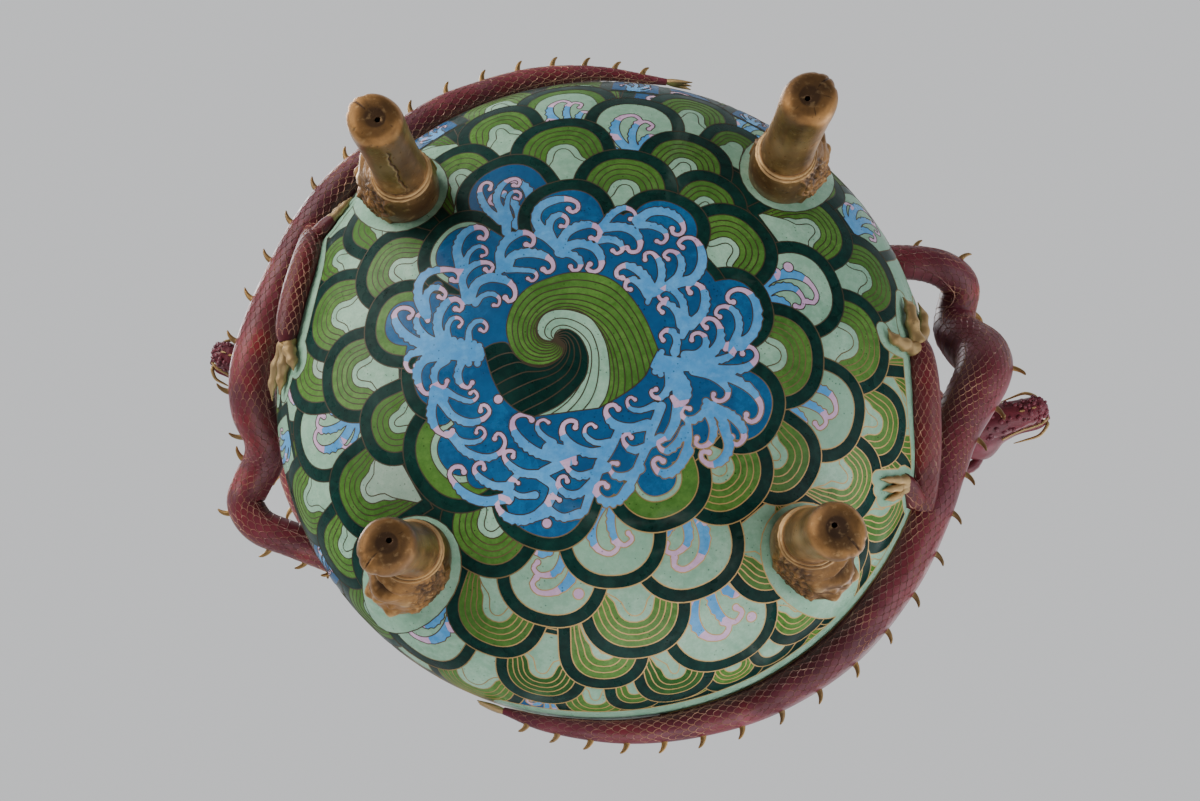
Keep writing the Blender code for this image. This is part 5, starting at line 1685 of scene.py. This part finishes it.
def head_skin(heap, stations, mat):
    """Skull and snout: brow, eye sockets, cheeks, lips and flared nostrils."""
    rows = catmull([(*polar(t, r, z), w) for t, r, z, w in stations], 9)
    pts = [Vector(r[:3]) for r in rows]
    span = len(rows) - 1
    sides = 44
    rings, frames_ = [], []
    for i, (p, row) in enumerate(zip(pts, rows)):
        a, b = pts[max(i - 1, 0)], pts[min(i + 1, span)]
        t = (b - a).normalized()
        up = (Vector((0, 0, 1)) - t * t.z).normalized()
        side = t.cross(up)
        f = i / span
        frames_.append((p, t, up, side, row[3]))
        broad = 1.0 + 0.12 * math.sin(math.pi * min(1.0, f * 1.6))
        flat = 1.0 - 0.26 * min(1.0, max(0.0, (f - 0.4) / 0.3))
        ring = []
        for k in range(sides):
            ang = TAU * k / sides
            c, s = math.cos(ang), math.sin(ang)
            A = abs(ang if ang <= math.pi else ang - TAU)
            add = 0.0
            add += 0.20 * bumpg(A, 0.72, 0.24) * bumpg(f, 0.40, 0.07)      # brow
            add -= 0.16 * bumpg(A, 0.98, 0.22) * bumpg(f, 0.47, 0.05)      # eye socket
            add += 0.16 * bumpg(A, 1.45, 0.25) * bumpg(f, 0.36, 0.09)      # cheek
            add += 0.30 * bumpg(A, 0.55, 0.22) * bumpg(f, 0.90, 0.045)     # nostrils
            add -= 0.10 * bumpg(A, 0.0, 0.18) * bumpg(f, 0.88, 0.06)
            add += 0.12 * bumpg(A, 0.0, 0.14) * bumpg(f, 0.62, 0.16)       # bridge
            add += 0.09 * math.cos(f * 70) * bumpg(A, 0.0, 0.5) * bumpg(f, 0.70, 0.10)
            add += 0.12 * bumpg(A, 1.75, 0.10) * bumpg(f, 0.76, 0.17)      # upper lip
            low = -0.25 * max(0.0, -c) * min(1.0, max(0.0, (f - 0.35) / 0.2))
            ring.append(to_row(p + (up * c * flat + side * s * broad) * row[3] * (1 + add + low)))
        rings.append(ring)
    heap.rings(rings, mat, True, 0.5)
    return frames_


def build_dragon(name, body_st, head_st, limbs, claws, node, seed):
    body = Body(body_st)
    skin_heap = Heap()
    rings, wear = skin(body, 36)
    skin_heap.rings(rings, 0, True, 0.5)
    skin_heap.wear = wear
    gilt = Heap()
    wires = Heap()
    # scale cells on the back and flanks, plates on the underside
    scale_wires(wires, body, 10.0, body.length - 4.0, 4.0, 4.6, -2.35, 2.35)
    length = 12.0
    while length < body.length - 6:
        pts, rad = [], []
        for i in range(9):
            p, r, _ = body.at(length, math.pi - 0.75 + 1.5 * i / 8, 0.02)
            pts.append(p)
            rad.append(r)
        if all(free(p) for p in pts) and not body.tight(length, math.pi - 0.6) and not body.tight(length, math.pi + 0.6):
            add_wire(wires, pts, rad, 0.3, 0.25)
        length += 6.0
    # gilt lines where the body meets the enamel, and along the edge of the scales
    for phi in (-2.38, 2.38):
        pts, rad = [], []
        length = 8.0
        while length < body.length - 3:
            p, r, _ = body.at(length, phi, 0.05)
            if free(p) and not body.tight(length, phi):
                pts.append(p)
                rad.append(r)
            elif len(pts) > 1:
                add_wire(wires, pts, rad, 0.28, 0.28)
                pts, rad = [], []
            else:
                pts, rad = [], []
            length += 2.5
        if len(pts) > 1:
            add_wire(wires, pts, rad, 0.28, 0.28)
    for sgn in (1, -1):
        pts, rad = [], []
        length = 2.0
        while length < body.length:
            found = None
            for q in range(60):
                phi = sgn * (0.9 + 2.2 * q / 59)
                p, r, _ = body.at(length, phi)
                if p.z < 205 and bowl_side(math.hypot(p.x, p.y), p.z) < 0.0022:
                    found = (p, r)
                    break
            if found:
                pts.append(found[0])
                rad.append(found[1])
            else:
                if len(pts) > 2:
                    simple_tube(gilt, pts, [0.62] * len(pts), 0, 6)
                pts, rad = [], []
            length += 2.4
        if len(pts) > 2:
            simple_tube(gilt, pts, [0.62] * len(pts), 0, 6)
    # spines along the outer ridge
    length = 16.0
    while length < body.length - 14:
        p, r, w = body.at(length, 0.0, -0.4)
        f = min(max(length / body.length, 0.0), 1.0) * (len(body.pts) - 1)
        t = body.fr[min(int(f), len(body.fr) - 1)][0]
        thorn(gilt, p, r, t, 6.2 + 0.36 * w, 0)
        length += 15.0 + 0.9 * w
    for i, st in enumerate(limbs):
        limb = Body(st, 1.6)
        lrings, lwear = skin(limb, 24)
        base = len(skin_heap.verts)
        skin_heap.rings(lrings, 1, True, 0.5)
        skin_heap.wear[base:] = lwear
        scale_wires(wires, limb, 4.0, limb.length - 2.0, 3.7, 4.2, -2.3, 2.3)
    for st in claws:
        claw_shape(gilt, st, 0)
    # tail tuft: three gilt flames
    p0, t0 = body.pts[0], body.fr[0][0]
    n0, s0 = body.fr[0][1], body.fr[0][2]
    for k in (-1, 0, 1):
        pts = [p0 - t0 * (q * 3.2) + s0 * k * q * 1.3 + n0 * (0.3 - 0.16 * q) for q in range(6)]
        simple_tube(gilt, pts, [1.9, 2.1, 1.9, 1.5, 0.9, 0.3], 0)
    # head, and the round place where the neck runs into it
    fr = head_skin(skin_heap, head_st, 0)
    end = body.pts[-1].lerp(polar(*head_st[0][:3]), 0.5)
    skin_heap.ball(Vector(to_row(end)), (15.3 * MM, 15.3 * MM, 14.8 * MM), Matrix.Identity(3), 0, 30, 0.5)
    skin_heap.wear = (skin_heap.wear + [0.5] * len(skin_heap.verts))[:len(skin_heap.verts)]
    n = len(fr) - 1

    def hp(f, u, s, w=0.0):
        """A place on the head: part of its length, up, sideways, in its own half thickness."""
        p, t, up, side, r = fr[int(round(f * n))]
        return p + up * (u * r) + side * (s * r) + t * w

    jaw = [hp(0.30, -0.55, 0), hp(0.46, -0.78, 0), hp(0.60, -0.98, 0), hp(0.74, -1.16, 0), hp(0.86, -1.18, 0),
           hp(0.93, -1.05, 0)]
    jaw = [Vector(r) for r in catmull([tuple(p) for p in jaw], 5)]
    jw = np.interp(np.linspace(0, 1, len(jaw)), (0, 0.3, 0.7, 0.92, 1), (9.4, 9.4, 7.6, 5.6, 3.0))
    up_hint = lambda p: Vector((0, 0, 1))
    jr = []
    for p, w, (tt, nn, ss) in zip(jaw, jw, sweep_frames(jaw, up_hint)):
        ring = []
        for k in range(26):
            a = TAU * k / 26
            low = -math.cos(a)
            wart = noise.noise(p * 0.42 + Vector((0, 0, 3 * a + seed))) * (0.5 + 0.5 * low)
            ring.append(to_row(p + (nn * math.cos(a) * 0.86 + ss * math.sin(a) * 1.12) * (w + 1.5 * wart)))
        jr.append(ring)
    skin_heap.rings(jr, 0, True, 0.5)
    skin_heap.wear = (skin_heap.wear + [0.5] * len(skin_heap.verts))[:len(skin_heap.verts)]
    # warts on the chin and a small gilt curl at its tip
    for k in range(70):
        i = int(rng.uniform(0.0, 0.9) * (len(jaw) - 1))
        a = math.pi + rng.uniform(-1.35, 1.35)
        tt, nn, ss = sweep_frames(jaw, up_hint)[i]
        r = nn * math.cos(a) * 0.86 + ss * math.sin(a) * 1.12
        size = rng.uniform(1.1, 1.9) * MM
        skin_heap.ball(Vector(to_row(jaw[i] + r * jw[i])), (size, size, size * 0.8), Matrix.Identity(3), 0, 8, 0.9)
    tip, back = jaw[-1], (jaw[-1] - jaw[-3]).normalized()
    curl = [tip - back * 1.0, tip + back * 2.6 + Vector((0, 0, -1.2)), tip + back * 4.2 + Vector((0, 0, -4.2)),
            tip + back * 2.6 + Vector((0, 0, -6.8)), tip + back * 0.2 + Vector((0, 0, -5.6))]
    curl = [Vector(r) for r in catmull([tuple(p) for p in curl], 4)]
    simple_tube(gilt, curl, list(np.interp(np.linspace(0, 1, len(curl)), (0, 0.6, 1), (1.6, 1.3, 0.7))), 0, 8,
                lambda q: Vector((0.3, 1, 0)))
    # teeth, tongue and lips
    for sgn in (-1, 1):
        for k in range(6):
            f = 0.56 + 0.065 * k
            p = hp(f, -0.55, 0.66 * sgn)
            ln = 3.0 if k in (4,) else 2.0
            simple_tube(gilt, [p, p + Vector((0, 0, -ln * 0.6)), p + Vector((0, 0, -ln))],
                        [1.0, 0.7, 0.15], 1, 6, lambda q: Vector((1, 0.3, 0)), 0.9)
        lip = [hp(0.48 + 0.07 * k, -0.52, (0.98 - 0.02 * k) * sgn) for k in range(8)]
        simple_tube(gilt, lip, [0.9] * 8, 0, 6, up_hint)
    tongue = [hp(0.40, -0.55, 0), hp(0.55, -0.62, 0), hp(0.70, -0.68, 0), hp(0.86, -0.66, 0), hp(0.95, -0.62, 0)]
    simple_tube(skin_heap, [Vector(r) for r in catmull([tuple(p) for p in tongue], 3)],
                [2.6] * 8 + [2.2, 1.8, 1.4, 1.0, 0.6], 1, 10, up_hint, 0.9)
    skin_heap.wear = (skin_heap.wear + [0.9] * len(skin_heap.verts))[:len(skin_heap.verts)]
    eyes = Heap()
    for sgn in (-1, 1):
        p, t, up, side, r = fr[int(round(0.465 * n))]
        turn = Matrix((t, side * sgn, up)).transposed()
        c = p + up * (0.60 * r) + side * (0.74 * r * sgn)
        eyes_c = Vector(to_row(c))
        eyes.ball(eyes_c, (3.5 * MM, 2.6 * MM, 3.0 * MM), turn, 0, 20)
        eyes.ball(eyes_c + (side * sgn * 1.7 + up * 0.5) * MM, (1.7 * MM, 1.3 * MM, 1.7 * MM), turn, 1, 16)
        ring = []
        for k in range(17):
            a = TAU * k / 16
            ring.append(c + t * (4.0 * math.cos(a)) + up * (3.4 * math.sin(a)) + side * sgn * (0.2 + 0.4 * math.sin(a)))
        simple_tube(gilt, ring, [0.7] * 17, 0, 6, up_hint)
        # brow flames, horns, ears, whiskers, beard and mane
        brow = [hp(0.52, 0.95, 0.55 * sgn), hp(0.47, 1.22, 0.66 * sgn), hp(0.40, 1.34, 0.80 * sgn),
                hp(0.32, 1.42, 0.98 * sgn), hp(0.26, 1.62, 1.10 * sgn)]
        simple_tube(gilt, [Vector(r) for r in catmull([tuple(p) for p in brow], 3)],
                    [0.9, 1.5, 2.0, 2.3, 2.4, 2.3, 2.1, 1.8, 1.5, 1.2, 0.9, 0.6, 0.3], 0)
        bt, br, bz, _ = head_st[2]
        horn = [polar(bt + sgn * 1.6, br - 2, bz + 9), polar(bt + sgn * 3.0, br - 14, bz + 21),
                polar(bt + sgn * 4.6, br - 30, bz + 27), polar(bt + sgn * 6.0, br - 44, bz + 26)]
        hpts = [Vector(r) for r in catmull([tuple(p) for p in horn], 8)]
        rings = []
        for i, (p, (t2, n2, s2)) in enumerate(zip(hpts, sweep_frames(hpts, up_hint))):
            f = i / (len(hpts) - 1)
            w = (3.7 - 2.9 * f) * (1 + 0.07 * math.sin(f * 62))
            rings.append([to_row(p + (n2 * math.cos(TAU * k / 14) + s2 * math.sin(TAU * k / 14)) * w)
                          for k in range(14)])
        gilt.rings(rings, 0, True, 0.85)
        branch = [hpts[11], hpts[11] + Vector((0, 0, 5)) + (hpts[12] - hpts[11]).normalized() * 1.5,
                  hpts[11] + Vector((0, 0, 9)) + (hpts[12] - hpts[11]).normalized() * 5]
        simple_tube(gilt, branch, [1.9, 1.4, 0.3], 0, 8, lambda q: Vector((0.3, 1, 0)))
        ear = [hp(0.33, 0.40, 1.02 * sgn), hp(0.26, 0.62, 1.38 * sgn), hp(0.16, 0.84, 1.58 * sgn),
               hp(0.06, 0.98, 1.52 * sgn)]
        simple_tube(skin_heap, [Vector(r) for r in catmull([tuple(p) for p in ear], 3)],
                    [2.0, 3.0, 3.6, 3.7, 3.4, 3.0, 2.4, 1.6, 0.9, 0.4], 0, 12, up_hint, 0.5)
        skin_heap.wear = (skin_heap.wear + [0.5] * len(skin_heap.verts))[:len(skin_heap.verts)]
        whisk = [hp(0.90, 0.0, 0.82 * sgn), hp(0.90, -0.10, 1.15 * sgn), hp(0.80, 0.05, 1.40 * sgn),
                 hp(0.68, 0.30, 1.42 * sgn), hp(0.60, 0.50, 1.30 * sgn)]
        wp = [Vector(r) for r in catmull([tuple(p) for p in whisk], 5)]
        simple_tube(gilt, wp, list(np.interp(np.linspace(0, 1, len(wp)), (0, 0.5, 1), (1.5, 1.1, 0.35))), 0, 8, up_hint)
        for k in range(7):
            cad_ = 0.30 - 0.045 * k
            root = hp(max(0.0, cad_), 0.15 - 0.05 * k, 0.92 * sgn)
            back = -fr[0][1]
            sd = fr[3][3] * sgn
            drop = Vector((0, 0, 1)) * (2.5 - 1.35 * k)
            lock = [root, root + back * 7 + sd * (4.5 - 0.3 * k) + drop, root + back * 15 + sd * (7.0 - 0.5 * k) + drop * 1.9,
                    root + back * 22 + sd * (7.5 - 0.6 * k) + drop * 3.2 + Vector((0, 0, 1.5))]
            lp = [Vector(r) for r in catmull([tuple(p) for p in lock], 4)]
            simple_tube(gilt, lp, list(np.interp(np.linspace(0, 1, len(lp)), (0, 0.35, 1), (1.6, 2.3, 0.3))), 2, 8, up_hint)
    for k in range(3):
        root = jaw[int((0.35 + 0.18 * k) * (len(jaw) - 1))] + Vector((0, 0, -5.0 + k))
        lp = [root, root + Vector((0, 0, -3)), root + Vector((0, 0, -5.5)) - fr[-1][1] * 3]
        simple_tube(gilt, lp, [1.5, 1.1, 0.3], 0, 8, lambda q: Vector((0.3, 1, 0)))
    m1 = skin_heap.mesh(name + "_skin", 60)
    add_object(name + "_skin", m1, [RED, RED_DARK], node)
    add_object(name + "_scales", wires.mesh(name + "_scales", 80), [RED_WIRE])
    add_object(name + "_gilt", gilt.mesh(name + "_gilt", 50), [GILT, WHITE, ENAMELS[MOSS]])
    add_object(name + "_eyes", eyes.mesh(name + "_eyes", 60), [WHITE, BLACK])


build_bowl_enamel()
build_shell()
for _i, (_name, _angle) in enumerate(LEG_ANGLES.items()):
    build_leg(_name, _angle, _i + 1)
build_dragon("right", RIGHT_BODY, RIGHT_HEAD, RIGHT_LIMBS, RIGHT_CLAWS, "dragon_right", 1)
build_dragon("left", LEFT_BODY, LEFT_HEAD, LEFT_LIMBS, LEFT_CLAWS, "dragon_left", 2)


# ------------------------------------------------------------------ stage
def build_floor():
    bm = bmesh.new()
    bmesh.ops.create_grid(bm, x_segments=2, y_segments=2, size=6.0)
    mesh = bpy.data.meshes.new("floor")
    bm.to_mesh(mesh)
    bm.free()
    floor = bpy.data.objects.new("floor", mesh)
    floor.location = (0, 0, -0.0004)
    bpy.context.scene.collection.objects.link(floor)
    k = Look("pale_floor")
    col = k.mix(k.ramp(k.noise(3.0, 3.0), 0.3, 0.7), lin("d9d7d2"), lin("e2e0dc"))
    k.put(Base_Color=col, Roughness=0.7)
    clear = k.add("ShaderNodeBsdfTransparent")
    geo = k.add("ShaderNodeNewGeometry")
    mix = k.add("ShaderNodeMixShader")
    out = next(n for n in k.tree.nodes if n.type == "OUTPUT_MATERIAL")
    k.tree.links.new(geo.outputs["Backfacing"], mix.inputs[0])
    k.tree.links.new(k.shader.outputs[0], mix.inputs[1])
    k.tree.links.new(clear.outputs[0], mix.inputs[2])
    k.tree.links.new(mix.outputs[0], out.inputs["Surface"])
    mesh.materials.append(k.mat)
    floor.visible_shadow = False
    floor.visible_glossy = False
    floor.visible_diffuse = False
    floor.visible_transmission = False


build_floor()

world = bpy.data.worlds.new("studio")
bpy.context.scene.world = world
world.use_nodes = True
tree = world.node_tree
bg = tree.nodes["Background"]
coord = tree.nodes.new("ShaderNodeTexCoord")
split = tree.nodes.new("ShaderNodeSeparateXYZ")
tree.links.new(coord.outputs["Generated"], split.inputs[0])
fall = tree.nodes.new("ShaderNodeMapRange")
fall.interpolation_type = "SMOOTHSTEP"
fall.inputs["From Min"].default_value = -0.35
fall.inputs["From Max"].default_value = 0.45
fall.inputs["To Min"].default_value = 0.20
fall.inputs["To Max"].default_value = 0.74
tree.links.new(split.outputs["Z"], fall.inputs["Value"])
tree.links.new(fall.outputs["Result"], bg.inputs["Strength"])
bg.inputs["Color"].default_value = (0.97, 0.98, 1.0, 1)


def area(name, place, size, power, target=(0, 0, 0.15), colour=(1, 1, 1), diffuse=True, glossy=True):
    data = bpy.data.lights.new(name, "AREA")
    data.shape = "RECTANGLE"
    data.size, data.size_y = size
    data.energy = power
    data.color = colour
    obj = bpy.data.objects.new(name, data)
    bpy.context.scene.collection.objects.link(obj)
    obj.location = place
    obj.visible_diffuse, obj.visible_glossy = diffuse, glossy
    obj.rotation_euler = (Vector(target) - Vector(place)).to_track_quat("-Z", "Y").to_euler()


area("below_key", (-2.2, -1.35, -1.0), (3.2, 1.4), 128, colour=(1.0, 0.97, 0.93), glossy=False)
area("below_gleam", (-2.2, -1.35, -1.0), (2.2, 1.1), 105, colour=(1.0, 0.97, 0.93), diffuse=False)
area("below_fill", (2.1, 0.75, -0.85), (2.4, 1.1), 44, colour=(0.95, 0.97, 1.0), glossy=False)
area("below_fill_gleam", (2.1, 0.75, -0.85), (1.6, 0.9), 42, colour=(0.95, 0.97, 1.0), diffuse=False)
area("below_front", (0.25, 1.95, -0.75), (1.8, 0.9), 28, glossy=False)
area("below_front_gleam", (0.25, 1.95, -0.75), (1.4, 0.8), 28, diffuse=False)
area("above_key", (-1.2, -1.3, 1.9), (1.2, 1.2), 30)
area("above_fill", (1.6, 1.0, 1.6), (1.6, 1.6), 18)

PHI = math.radians(14.8)
cam_data = bpy.data.cameras.new("camera")
cam_data.sensor_width = 36.0
cam_data.lens = 36.0 * 2613 / 1200
cam_data.shift_x = -4.0 / 1200
cam_data.shift_y = -6.4 / 1200
cam_data.clip_start, cam_data.clip_end = 0.05, 50
camera = bpy.data.objects.new("camera", cam_data)
bpy.context.scene.collection.objects.link(camera)
place = Vector((AXIS_X, 1600 * math.sin(PHI), 170 - 1600 * math.cos(PHI))) * MM
axes = Matrix(((1, 0, 0), (0, -math.cos(PHI), math.sin(PHI)), (0, -math.sin(PHI), -math.cos(PHI))))
camera.matrix_world = Matrix.Translation(place) @ axes.to_4x4()
bpy.context.scene.camera = camera
